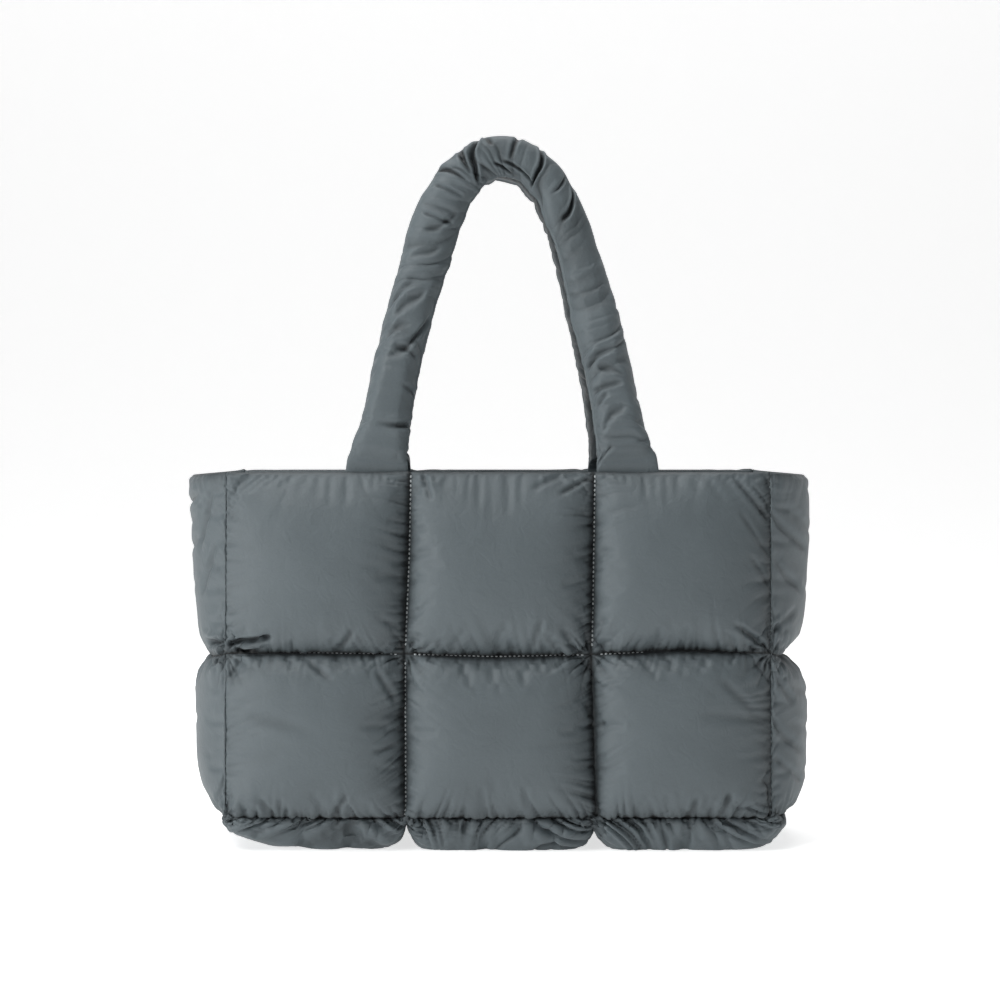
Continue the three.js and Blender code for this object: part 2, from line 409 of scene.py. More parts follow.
def folds(*rows: tuple[float, ...]) -> tuple[Fold, ...]:
    """Folds from rows in millimetres: across and up at the first end and at the last, depth, width."""
    table = (np.array(rows) / 1000).tolist()
    return tuple(Fold((x0, z0), (x1, z1), depth, width) for x0, z0, x1, z1, depth, width in table)


@dataclass(frozen=True)
class Crumple:
    """A star of short folds round a point where seams cross.

    Attributes:
        across: Place of the point, from the middle.
        up: Its height above the floor.
        depth: Height of the folds.
        reach: How far they run.
        spokes: Number of random knots round the star.
    """

    across: float
    up: float
    depth: float
    reach: float
    spokes: int = 17

    def height(self, x: Array, z: Array, seed: int) -> Array:
        """Height of the star: ridges of a random wave round the point, under r e^(1 - r).

        Args:
            x: Places across the wall.
            z: Heights above the floor.
            seed: Seed of the ridges.

        Returns:
            One height for each place.
        """
        dx, dz = x - self.across, z - self.up
        turn = (np.arctan2(dz, dx) / (2 * np.pi) + 0.5) * self.spokes
        radius = np.hypot(dx, dz)
        swirl = 0.35 * Unevenness(seed + 5).line(radius, 0.006)
        wave = Unevenness(seed, knots=self.spokes).line(turn + swirl, 1.0)
        ratio = 3 * radius / self.reach
        return self.depth * ratio * np.exp(1 - ratio) * (2 * np.abs(wave) ** 0.7 - 1)


@dataclass(frozen=True)
class Lines:
    """Grid lines along one direction of a pad.

    Attributes:
        share: Share of the whole way at each line.
        puff: Number of the puff that the line crosses.
        across: Share of the way across that puff.
        seams: Indexes of the lines on seams, the first and the last edge of the puffs among them.
    """

    share: Array
    puff: Array
    across: Array
    seams: tuple[int, ...]

    def coarse(self, step: int) -> "Lines":
        """Every so many lines, without those on the rolled edges.

        Args:
            step: Lines from one kept line to the next.

        Returns:
            The kept lines.
        """
        first, last = self.seams[0], self.seams[-1]
        kept = slice(first, last + 1, step)
        seams = tuple((seam - first) // step for seam in self.seams)
        return Lines(self.share[kept], self.puff[kept], self.across[kept], seams)


@dataclass(frozen=True)
class Spacing:
    """How the grid lines of a pad are spread along one direction.

    Attributes:
        edges: Shares of the way at which the seams run, from 0 to 1.
        steps: Steps across one puff.
        roll: Share of the way taken up by the rolled edge at each end.
        crowding: How much the lines crowd near the seams, from 0 to 1.
        roll_steps: Steps over a rolled edge.
    """

    edges: tuple[float, ...]
    steps: int
    roll: float
    crowding: float = 0.3
    roll_steps: int = 3

    def lines(self) -> Lines:
        """Lays out the lines: even steps t moved to t - crowding sin(2 pi t) / (2 pi).

        Returns:
            The lines over all the puffs and the two rolled edges.
        """
        even = np.arange(self.steps) / self.steps
        crowded = even - self.crowding * np.sin(2 * np.pi * even) / (2 * np.pi)
        inner = [self.roll, *self.edges[1:-1], 1 - self.roll]
        puffs = [between(a, b, crowded) for a, b in zip(inner[:-1], inner[1:])]
        bend = np.arange(self.roll_steps) / self.roll_steps * np.pi / 2
        rolled_edge = self.roll * (1 - np.cos(bend))
        share = np.concatenate([rolled_edge, *puffs, [1 - self.roll], 1 - rolled_edge[::-1]])
        count = len(self.edges) - 1
        puff = np.clip(np.searchsorted(self.edges, share, side="right") - 1, 0, count - 1)
        low, high = np.take(self.edges, puff), np.take(self.edges, puff + 1)
        seams = tuple(self.roll_steps + self.steps * number for number in range(count + 1))
        return Lines(share, puff, (share - low) / (high - low), seams)


def outer_halves(lines: Lines) -> Array:
    """Which lines lie on the outer half of the first or the last puff."""
    last = lines.puff.max()
    return ((lines.puff == 0) & (lines.across < 0.5)) | ((lines.puff == last) & (lines.across >= 0.5))


def grid_normals(points: Array, closed: bool = False) -> Array:
    """Unit normals of a grid of points: cross product of the ways along its columns and rows.

    Args:
        points: Grid of points, rows by columns by 3.
        closed: Whether the last column meets the first.

    Returns:
        One unit normal for each point.
    """
    if closed:
        along = np.roll(points, -1, axis=1) - np.roll(points, 1, axis=1)
    else:
        along = np.gradient(points, axis=1)
    normals = np.cross(along, np.gradient(points, axis=0))
    length = np.linalg.norm(normals, axis=-1, keepdims=True)
    return normals / np.maximum(length, 1e-12)


def stretch_matrix(coarse: int, step: int) -> Array:
    """Matrix that turns values on coarse lines into values on lines step times as fine.

    Args:
        coarse: Number of coarse steps.
        step: Fine steps in a coarse one.

    Returns:
        Catmull-Rom weights, with the end values carried straight on past the ends.
    """
    fine = coarse * step + 1
    place = np.arange(fine) / step
    index = np.minimum(np.floor(place).astype(int), coarse - 1)
    t = (place - index)[:, None]
    weights = np.hstack([
        -0.5 * t + t**2 - 0.5 * t**3,
        1 - 2.5 * t**2 + 1.5 * t**3,
        0.5 * t + 2 * t**2 - 1.5 * t**3,
        -0.5 * t**2 + 0.5 * t**3,
    ])
    padded = np.zeros((fine, coarse + 3))
    rows = np.arange(fine)
    for shift in range(4):
        padded[rows, index + shift] += weights[:, shift]
    matrix = padded[:, 1:-1].copy()
    matrix[:, 0] += 2 * padded[:, 0]
    matrix[:, 1] -= padded[:, 0]
    matrix[:, -1] += 2 * padded[:, -1]
    matrix[:, -2] -= padded[:, -1]
    return matrix


def resampled(grid: Array, tall: Array, wide: Array) -> Array:
    """Carries a grid of vectors over to other lines, with one matrix for each direction."""
    rows = np.tensordot(tall, grid, axes=(1, 0))
    return np.moveaxis(np.tensordot(wide, rows, axes=(1, 1)), 0, 1)


def without_bulge(moved: Array, modes: int) -> Array:
    """Takes the broad bulge out of how far a puff's points moved, and leaves the wrinkles.

    Args:
        moved: Grid of movements over one puff, zero on its seams.
        modes: How many half waves each way count as bulge.

    Returns:
        The movements less their first sine waves along both directions.
    """
    waves = []
    for count in moved.shape[:2]:
        place = np.arange(count) / (count - 1)
        waves.append(np.sin(np.pi * np.outer(place, np.arange(1, modes + 1))))
    rows, columns = waves
    scale = 4 / ((moved.shape[0] - 1) * (moved.shape[1] - 1))
    size = resampled(moved, rows.T, columns.T) * scale
    return moved - resampled(size, rows, columns)


@dataclass(frozen=True)
class ClothTrial:
    """Cloth simulation of a skin held at its seams, blown up from inside.

    Attributes:
        growth: Share by which the cloth is cut larger than its outline, which makes it wrinkle.
        pressure: Push from inside.
        frames: Frames that the simulation runs.
        jitter: Random unevenness of the start, so that no two puffs wrinkle alike.
        jitter_pitch: Grid steps from hump to hump of that unevenness.
        scale: Enlargement in which the solver is stable.
        cap: Furthest that a point may end up from its start.
    """

    growth: float = 0.016
    pressure: float = 5.0
    frames: int = 22
    jitter: float = 0.0008
    jitter_pitch: float = 3.0
    scale: float = 10.0
    cap: float = 0.006

    def run(self, points: Array, held: Array, seed: int, closed: bool = False) -> Array:
        """Runs the simulation and takes its result off the solver.

        Args:
            points: Grid of points of the skin.
            held: Grid of truth values: which points stay on their seams.
            seed: Seed of the unevenness.
            closed: Whether the last column meets the first.

        Returns:
            Grid of how far each point moved, capped.
        """
        rows, columns = np.indices(points.shape[:2])
        uneven = self.jitter * Unevenness(seed).field(columns, rows, self.jitter_pitch)[..., None]
        start = points + np.where(held[..., None], 0, uneven * grid_normals(points, closed))
        faces = grid_faces(points.shape, closed)
        skin = mesh_object("cloth_trial", start.reshape(-1, 3) * self.scale, faces)
        group = skin.vertex_groups.new(name="held")
        group.add(np.flatnonzero(held).tolist(), 1.0, "REPLACE")
        cloth = skin.modifiers.new("Cloth", "CLOTH")
        settings = cloth.settings
        settings.vertex_group_mass = group.name
        settings.use_pressure = True
        settings.uniform_pressure_force = self.pressure
        settings.shrink_min = -self.growth
        settings.quality = 6
        settings.mass = 0.2
        settings.tension_stiffness = settings.compression_stiffness = 30
        settings.shear_stiffness = 8
        settings.bending_stiffness = 0.08
        settings.air_damping = 2
        settings.effector_weights.gravity = 0
        cloth.collision_settings.use_collision = False
        for number in range(1, self.frames + 1):
            bpy.context.scene.frame_set(number)
        settled = np.empty(points.size, np.float32)
        shape = skin.evaluated_get(bpy.context.evaluated_depsgraph_get()).to_mesh()
        shape.vertices.foreach_get("co", settled)
        mesh = skin.data
        bpy.data.objects.remove(skin)
        bpy.data.meshes.remove(mesh)
        bpy.context.scene.frame_set(1)
        moved = settled.reshape(points.shape) / self.scale - points
        far = np.linalg.norm(moved, axis=-1, keepdims=True)
        return moved * np.minimum(1, self.cap / np.maximum(far, 1e-9))


def grid_places(across: Array, up: Array) -> Array:
    """Places of a grid's points, from those of its columns and those of its rows."""
    return np.stack(np.broadcast_arrays(across[None, :], up[:, None]), axis=-1)


def grid_faces(shape: Sequence[int], closed: bool = False, start: int = 0) -> Array:
    """Four-sided faces of a grid, wound so that column way x row way points outwards.

    Args:
        shape: Rows and columns of the grid.
        closed: Whether the last column meets the first.
        start: Index of the grid's first point.

    Returns:
        Faces by 4 indexes.
    """
    index = np.arange(shape[0] * shape[1]).reshape(shape[0], shape[1]) + start
    if closed:
        index = np.hstack([index, index[:, :1]])
    corners = index[:-1, :-1], index[:-1, 1:], index[1:, 1:], index[1:, :-1]
    return np.stack(corners, axis=-1).reshape(-1, 4)


def mesh_object(name: str, points: Array, faces: Array | list) -> bpy.types.Object:
    """Makes a smooth-shaded mesh object at the origin.

    Args:
        name: Name of the piece.
        points: Points by 3.
        faces: Faces as lists of indexes, or faces by 4 indexes.

    Returns:
        The new object, linked to the scene.
    """
    mesh = bpy.data.meshes.new(name)
    corners = faces.tolist() if isinstance(faces, np.ndarray) else faces
    mesh.from_pydata(points.tolist(), [], corners)
    mesh.shade_smooth()
    piece = bpy.data.objects.new(name, mesh)
    bpy.context.scene.collection.objects.link(piece)
    return piece


def valley(height: Array, depth: float) -> Array:
    """0 on level cloth and on ridges, 1 where a wrinkle is as deep as the given depth."""
    return np.clip(-height / depth, 0, 1)


def add_surface_data(piece: bpy.types.Object, flat: Array, crease: Array) -> None:
    """Gives a piece its cloth coordinates and its painted shade mask.

    Args:
        piece: The piece.
        flat: Where each point lies on the flat cloth, points by 2, or corners by 2.
        crease: For each point, its painted shade: 1 where darkest, 0 where none.
    """
    mesh = piece.data
    if len(flat) != len(mesh.loops):
        corner = np.empty(len(mesh.loops), np.int32)
        mesh.loops.foreach_get("vertex_index", corner)
        flat = flat[corner]
    layer = mesh.uv_layers.new(name="cloth")
    layer.data.foreach_set("uv", np.ascontiguousarray(flat, np.float32).ravel())
    # The crease attribute holds the painted shade mask.
    near = mesh.attributes.new("crease", "FLOAT", "POINT")
    near.data.foreach_set("value", np.ascontiguousarray(crease, np.float32).ravel())


def pad_faces(rows: int, columns: int, step: int) -> tuple[list, Array]:
    """Faces of a closed pad: a fine outer skin and an inner one that is step times as coarse.

    Args:
        rows: Rows of the outer grid.
        columns: Columns of the outer grid.
        step: Fine steps in a coarse one.

    Returns:
        The faces, and the indexes of the inner skin's own points in its coarse grid. The two
        skins share the edge, where each inner face takes in all the outer points along it.
    """
    fine = np.arange(rows * columns).reshape(rows, columns)
    coarse = fine[::step, ::step].copy()
    inside = coarse[1:-1, 1:-1]
    inside[...] = np.arange(inside.size).reshape(inside.shape) + fine.size
    corners = inside[:-1, :-1], inside[1:, :-1], inside[1:, 1:], inside[:-1, 1:]
    faces = grid_faces(fine.shape).tolist() + np.stack(corners, -1).reshape(-1, 4).tolist()
    for quarter in range(4):
        turned = np.rot90(fine, quarter)
        near = np.rot90(coarse, quarter)[1]
        starts = np.arange(1, len(near) - 2) * step
        runs = turned[0][starts[:, None] + np.arange(step, -1, -1)]
        faces += np.column_stack([near[1:-2], near[2:-1], runs]).tolist()
        faces.append([*turned[0, step::-1], *turned[1:step + 1, 0], near[1]])
    return faces, inside


class QuiltedPad(ABC):
    """A padded wall of the bag: an outer skin of puffs and a lining, closed round its edge.

    Attributes:
        node: CAD node that it replaces.
        seed: Seed of its gathers and of its cloth trial.
        inner_step: Steps of the outer skin in one of the lining.
        shade: Reach of the painted shade at a puff's left, right, low and high side, in shares of it.
        wide_shade: How dark that painted shade is at the seam.
        painted_seam_line: Width of the painted shadow line beside and above a seam, as shares of a puff.
        corner_shade: How dark the painted shade at the left and the right corner seam is.
        valley_shade: How dark the painted shade in the deepest wrinkles is.
        valley_depth: Depth of a wrinkle that is as dark as that.
    """

    name: str
    node: str
    sizes: BagSizes
    facing: Facing
    seed: int
    spacing_across: Spacing
    spacing_up: Spacing
    trial: ClothTrial
    inner_step: int = 3
    shade: tuple[float, float, float, float] = (0.03, 0.03, 0.03, 0.03)
    wide_shade: float = 0.66
    painted_seam_line: tuple[float, float] = (0.010, 0.010)
    corner_shade: tuple[float, float] = (0.3, 0.3)
    valley_shade: float = 0.54
    valley_depth: float = 0.0026

    @abstractmethod
    def skin(self, across: Lines, up: Lines, side: Side) -> Array:
        """Points of one smooth skin on the given grid lines, before it is turned."""

    @abstractmethod
    def wrinkles(self, across: Lines, up: Lines) -> Array:
        """Heights of the gathers, folds and crumples over the outer skin."""

    @abstractmethod
    def flat(self, across: Lines, up: Lines) -> Array:
        """Places of the grid's points on the flat cloth."""

    def settle(self, points: Array) -> Array:
        """Last correction of the outer skin, such as where it rests on something."""
        return points

    def painted_shade_beside_seams(self, across: Lines, up: Lines) -> Array:
        """Painted shade on the cloth beside its seams.

        Args:
            across: Grid lines from side to side.
            up: Grid lines from bottom to top.

        Returns:
            1 on the shaded side of a seam, as e^(-(share / line)^2), and less further into the
            puff, as wide_shade e^(-share / shade), with a reach of its own at each side.
        """
        # Painted shade: a dark line on a seam's shaded side and a wider fade into each puff, weaker at
        # the corners.
        left, right, low, high = self.shade
        beside, above = self.painted_seam_line
        wide = np.maximum(np.exp(-across.across / left), np.exp(-(1 - across.across) / right))
        line = np.exp(-(((1 - across.across) / beside) ** 2))
        sideways = np.maximum(self.wide_shade * wide, line)
        first, last = self.corner_shade
        corners = np.where(across.puff == 0, first, last if across.puff.max() else first)
        reach = np.where(across.puff == 0, left, right)
        nearer = np.minimum(across.across, 1 - across.across)
        sideways = np.where(outer_halves(across), corners * np.exp(-nearer / reach), sideways)
        wide = np.maximum(np.exp(-up.across / low), np.exp(-(1 - up.across) / high))
        upwards = np.maximum(self.wide_shade * wide, np.exp(-((up.across / above) ** 2)))
        return np.maximum(sideways[None, :], upwards[:, None])

    def simulated(self, across: Lines, up: Lines) -> Array:
        """Wrinkles of the outer skin from a cloth simulation, on the fine grid.

        Args:
            across: Grid lines from side to side.
            up: Grid lines from bottom to top.

        Returns:
            How far each point moves. The broad bulge is taken out, so the form stays.
        """
        step = self.inner_step
        columns, rows = across.coarse(step), up.coarse(step)
        start = self.skin(columns, rows, Side.OUTER)
        held = np.zeros(start.shape[:2], bool)
        held[list(rows.seams)] = True
        held[:, list(columns.seams)] = True
        moved = self.trial.run(start, held, self.seed)
        whole = np.zeros((len(up.share), len(across.share), 3))
        for r0, r1, fr0, fr1 in zip(rows.seams, rows.seams[1:], up.seams, up.seams[1:]):
            for c0, c1, fc0, fc1 in zip(columns.seams, columns.seams[1:], across.seams,
                                        across.seams[1:]):
                wrinkled = without_bulge(moved[r0:r1 + 1, c0:c1 + 1], 2)
                tall, wide = stretch_matrix(r1 - r0, step), stretch_matrix(c1 - c0, step)
                whole[fr0:fr1 + 1, fc0:fc1 + 1] = resampled(wrinkled, tall, wide)
        return whole

    def build(self) -> "SewnPad":
        """Builds the pad's mesh.

        Returns:
            The finished pad with its grid, from which stitches are placed.
        """
        across, up = self.spacing_across.lines(), self.spacing_up.lines()
        outer = self.skin(across, up, Side.OUTER) + self.simulated(across, up)
        wrinkled = self.wrinkles(across, up)
        outer += grid_normals(outer) * wrinkled[..., None]
        outer = self.settle(outer)
        lining = self.skin(across, up, Side.INNER)
        flat = self.flat(across, up)
        # Painted shade: darker beside the seams and in the wrinkles' valleys, kept in the crease
        # attribute.
        valleys = self.valley_shade * valley(wrinkled, self.valley_depth)
        near = np.clip(self.painted_shade_beside_seams(across, up) + valleys, 0, 1)
        faces, inside = pad_faces(len(up.share), len(across.share), self.inner_step)
        kept = slice(self.inner_step, -self.inner_step, self.inner_step)
        points = np.concatenate([outer.reshape(-1, 3), lining[kept, kept].reshape(-1, 3)])
        turn = self.facing.value
        points[:, :2] *= turn
        piece = mesh_object(self.name, points, faces)
        cloth = np.concatenate([flat.reshape(-1, 2), flat[kept, kept].reshape(-1, 2)])
        creased = np.concatenate([near.ravel(), np.zeros(inside.size)])
        add_surface_data(piece, cloth, creased)
        outer[..., :2] *= turn
        return SewnPad(piece, self.node, outer, grid_normals(outer), across, up)


@dataclass(frozen=True)
class SewnPad:
    """A finished pad and the grid of its outer skin."""

    piece: bpy.types.Object
    node: str
    outer: Array
    normals: Array
    across: Lines
    up: Lines


FRONT_FOLDS = folds(
    (-184, 140.5, -158, 146, 6.2, 2.4),
    (-178, 137, -168, 135.5, 7.5, 3.2),
    (-107, 138.5, -99, 151, 1.6, 2.6),
    (-126, 129, -114, 120, 1.2, 2.6),
    (-80, 120, -70, 104, 1.6, 2.6),
    (-82, 70, -68, 72, 1.2, 2.6),
    (-172, 94, -128, 84, 0.6, 5),
    (-112, 22, -104, 38, 1.8, 2.8),
    (-150, 21, -160, 36, 2, 3),
    (-51, 254, -46, 240, 1.6, 2.4),
    (44, 243, 62, 253, 1.6, 2.2),
    (26, 247, 40, 254, 1.2, 2.6),
    (164, 248, 180, 228, 1.6, 2.2),
    (166, 225, 184, 199, 1, 2.2),
    (172, 198, 184, 179, 1, 2),
    (162, 153, 183, 138, 2.2, 2.4),
    (152, 115, 172, 96, 0.9, 3.4),
    (140, 94, 176, 90, 0.6, 5),
    (150, 20, 155, 38, 2.4, 2.8),
    (128, 20, 133, 36, 1.6, 2.6),
    (60, 100, 68, 86, 1.2, 2.6),
    (44, 150, 52, 138, 1.6, 2.6),
    (28, 156, 22, 138, 1.2, 2.8),
)
BACK_FOLDS = folds(
    (-182, 244, -158, 226, 2.2, 3.4),
    (-184, 140, -156, 150, 2.6, 3.2),
    (-98, 139, -106, 152, 1.4, 2.8),
    (-44, 111, -52, 95, 1.4, 2.8),
    (50, 255, 42, 240, 1.8, 2.8),
    (100, 21, 94, 38, 1.8, 2.8),
    (160, 90, 176, 72, 1, 3.6),
    (156, 150, 186, 138, 3, 3.6),
    (10, 22, 16, 36, 1.4, 2.8),
)


# Spans of the front's quilting seams on which the puffs leave the thread in sight, as shares of
# each part between two crossings: the row seam from the left, then each column seam from below.
FRONT_THREAD = ((0.45, 1.0), (0.0, 1.0), (0.0, 0.30), (0.0, 1.0), (0.0, 1.0), (0.0, 0.0), (0.0, 1.0))


@dataclass(frozen=True)
class Dent:
    """A place where a seam crossing draws the cloth in.

    Attributes:
        across: Share of the panel's width.
        up: Share of the way from the base seam to the rim.
        depth: Share of a puff's height.
        reach: Share of a column's width.
    """

    across: float
    up: float
    depth: float
    reach: float


ROW_AT = 0.4755  # share of a panel's height at which its row seam runs


@dataclass
class FacePanel(QuiltedPad):
    """The quilted front or back: three columns and two rows of puffs.

    Attributes:
        drift: How far the two column seams stray to the right at the drift heights.
        drift_heights: Shares of the panel's height.
        row_wander: How far the row seam strays upwards, at even steps from side to side.
        sag: How far the upper puffs hang over the row seam, at even steps from side to side.
        sag_reach: Height over which the sag eases off.
        calm_left: Share of full height that the gathers on the right of a column seam have.
        calm_under: The same for the gathers under the row seam.
        slack: Height and pitch of the broad and of the fine unevenness of slack cloth.
        star_depth: Height of the crumples.
        star_reach: How far they run round a crossing.
        corner_star_reach: How far they run round a bottom corner.
        corner_star_up: Height of their middle over the base seam there.
        dents: Places where the cloth is drawn in, the four crossings on the row seam first.
    """

    name: str
    node: str
    facing: Facing
    seed: int
    folds: tuple[Fold, ...]
    sizes: BagSizes = field(default_factory=BagSizes)
    trial: ClothTrial = field(default_factory=ClothTrial)
    column_steps: int = 120
    row_steps: int = 114
    drift: tuple[tuple[float, ...], ...] = (
        (-0.0012, -0.0016, 0.0010, 0.0022),
        (0.0052, 0.0018, 0.0030, 0.0040),
    )
    drift_heights: tuple[float, ...] = (0.0, ROW_AT, 0.75, 1.0)
    row_wander: tuple[float, ...] = (0.0, 0.0006, -0.0004, -0.0020, -0.0006, 0.0022, 0.0)
    sag: tuple[float, ...] = (0.0045, 0.0050, 0.0030, 0.0020, 0.0010)
    sag_reach: float = 0.014
    calm_left: float = 0.55
    calm_under: float = 0.40
    # Painted shade: wider and darker on the puffs' right flanks, along their lower edges and at the right
    # corner, which face away from the lights.
    shade: tuple[float, float, float, float] = (0.014, 0.060, 0.036, 0.012)
    painted_seam_line: tuple[float, float] = (0.036, 0.020)
    corner_shade: tuple[float, float] = (0.05, 0.75)
    slack: tuple[tuple[float, float], ...] = ((0.0005, 0.022), (0.0002, 0.008))
    star_depth: float = 0.0026
    star_reach: float = 0.017
    corner_star_reach: float = 0.026
    corner_star_up: float = 0.003
    dents: tuple[Dent, ...] = (
        Dent(0.0, ROW_AT, 0.50, 0.16),
        Dent(1 / 3, ROW_AT, 0.50, 0.12),
        Dent(2 / 3, ROW_AT, 0.50, 0.14),
        Dent(1.0, ROW_AT, 0.55, 0.18),
        Dent(0.93, 0.86, 0.16, 0.20),
        Dent(0.62, 0.97, 0.14, 0.16),
    )

    def __post_init__(self) -> None:
        """Lays the grid lines along the three columns and the two rows."""
        size = self.sizes
        roll = size.corner_roll / size.width
        self.spacing_across = Spacing((0, 1 / 3, 2 / 3, 1), self.column_steps, roll)
        self.spacing_up = Spacing((0, size.row_share, 1), self.row_steps, size.half_seam / size.wall)

    def places(self, across: Lines, up: Lines) -> tuple[Array, Array]:
        """Places across the panel and heights of the grid's points.

        Args:
            across: Grid lines from side to side.
            up: Grid lines from bottom to top.

        Returns:
            x and z. The two column seams and the row seam wander a little from straight.
        """
        size = self.sizes
        half = size.width / 2 - size.half_gap
        share, height = across.share[None, :], up.share[:, None]
        pull = np.stack([np.interp(up.share, self.drift_heights, row) for row in self.drift])
        nearness = np.clip(1 - np.abs(across.share[None, :] * 3 - np.array([[1], [2]])), 0, 1)
        x = between(-half, half, share) + pull.T @ nearness
        knots = np.linspace(0, 1, len(self.row_wander))
        wander = np.interp(across.share, knots, self.row_wander)[None, :]
        z = between(size.base_seam + size.half_gap, size.rim_height, height)
        return x, z + wander * size.beside_row(height)

    def skin(self, across: Lines, up: Lines, side: Side) -> Array:
        """Points of one skin: the seam plane, moved out by half the seam and the puffs' swell.

        Args:
            across: Grid lines from side to side.
            up: Grid lines from bottom to top.
            side: Which skin.

        Returns:
            Grid of points, facing -Y.
        """
        size = self.sizes
        x, z = self.places(across, up)
        share, height = across.share[None, :], up.share[:, None]
        edge = np.minimum(share, 1 - share) * size.width
        end = np.minimum(height, 1 - height) * size.wall
        thick = size.half_seam * rolled(edge, size.corner_roll) * rolled(end, size.half_seam)
        if side is Side.INNER:
            inward = size.lining(swell(share, QUILT_SEAM, QUILT_SEAM), z, size.rim_height)
            return np.stack([x, -size.half_depth(z) + thick + inward, z], axis=-1)
        columns = swell(across.across, QUILT_SEAM, FAR_SEAM)
        columns = np.where(outer_halves(across), swell(across.across, CORNER_SEAM, CORNER_SEAM), columns)
        rows = swell_up(up, UNDER_SEAM)
        drawn = np.zeros(x.shape)
        for dent in self.dents:
            sideways = (share - dent.across) * size.width
            upwards = (height - dent.up) * size.wall
            reach = dent.reach * size.width / 3
            drawn += dent.depth * hollow(np.hypot(sideways, upwards) / reach)
        full = np.clip(columns[None, :] * rows[:, None] - np.minimum(drawn, 1), 0, None)
        above = (height - size.row_share) * size.wall
        sag = np.interp(across.share, np.linspace(0, 1, len(self.sag)), self.sag)[None, :]
        z = z - np.where(above > 0, sag * full * np.exp(-above.clip(0) / self.sag_reach), 0)
        return np.stack([x, -size.half_depth(z) - thick - size.panel_puff * full, z], axis=-1)

    def wrinkles(self, across: Lines, up: Lines) -> Array:
        """Heights of gathers beside every seam, folds, crumples at the crossings and slack cloth.

        Args:
            across: Grid lines from side to side.
            up: Grid lines from bottom to top.

        Returns:
            One height for each point, zero on the seams.
        """
        size = self.sizes
        x, z = self.places(across, up)
        wide = size.width / 3
        tall = size.row_heights(up.puff)
        left, right = across.across * wide, (1 - across.across) * wide
        low, high = up.across * tall, (1 - up.across) * tall
        column, row = across.puff[None, :], up.puff[:, None]
        spread_z, spread_x = z + 0.7 * column, x + 0.7 * row
        seed = self.seed
        beside_left = self.calm_left * gathered(spread_z, left[None, :], QUILT_GATHERS, seed + 1)
        beside_right = gathered(spread_z + 0.31, right[None, :], QUILT_GATHERS, seed + 2)
        at_left = gathered(z, left[None, :], CORNER_GATHERS, seed + 3)
        at_right = gathered(z, right[None, :], CORNER_GATHERS, seed + 4)
        over_seam = gathered(spread_x, low[:, None], QUILT_GATHERS, seed + 5)
        over_base = gathered(x, low[:, None], BASE_GATHERS, seed + 6)
        under_seam = self.calm_under * gathered(spread_x + 0.17, high[:, None], QUILT_GATHERS, seed + 7)
        under_rim = gathered(x, high[:, None], HEM_GATHERS, seed + 8)
        height = np.where(column == 0, at_left, beside_left)
        height += np.where(column == 2, at_right, beside_right)
        height += np.where(row == 0, over_base, over_seam) + np.where(row == 1, under_rim, under_seam)
        inside = off_seams(np.minimum(left, right), np.minimum(low, high))
        for number, (depth, pitch) in enumerate(self.slack):
            height += depth * inside * Unevenness(seed + 9 + number).field(x, z, pitch)
        for fold in self.folds:
            height += inside * fold.height(x, z)
        half, corner_up = size.width / 2, size.base_seam + self.corner_star_up
        depth, reach, corner_reach = self.star_depth, self.star_reach, self.corner_star_reach
        stars = [Crumple(between(-half, half, dent.across), size.row_seam, depth, reach)
                 for dent in self.dents[:4]]
        stars += [Crumple(end, corner_up, depth, corner_reach) for end in (-half, half)]
        for number, star in enumerate(stars):
            height += inside * star.height(x, z, seed + 20 + number)
        return height

    def flat(self, across: Lines, up: Lines) -> Array:
        """Places on the flat cloth: across and up the panel."""
        return np.stack(self.places(across, up), axis=-1)


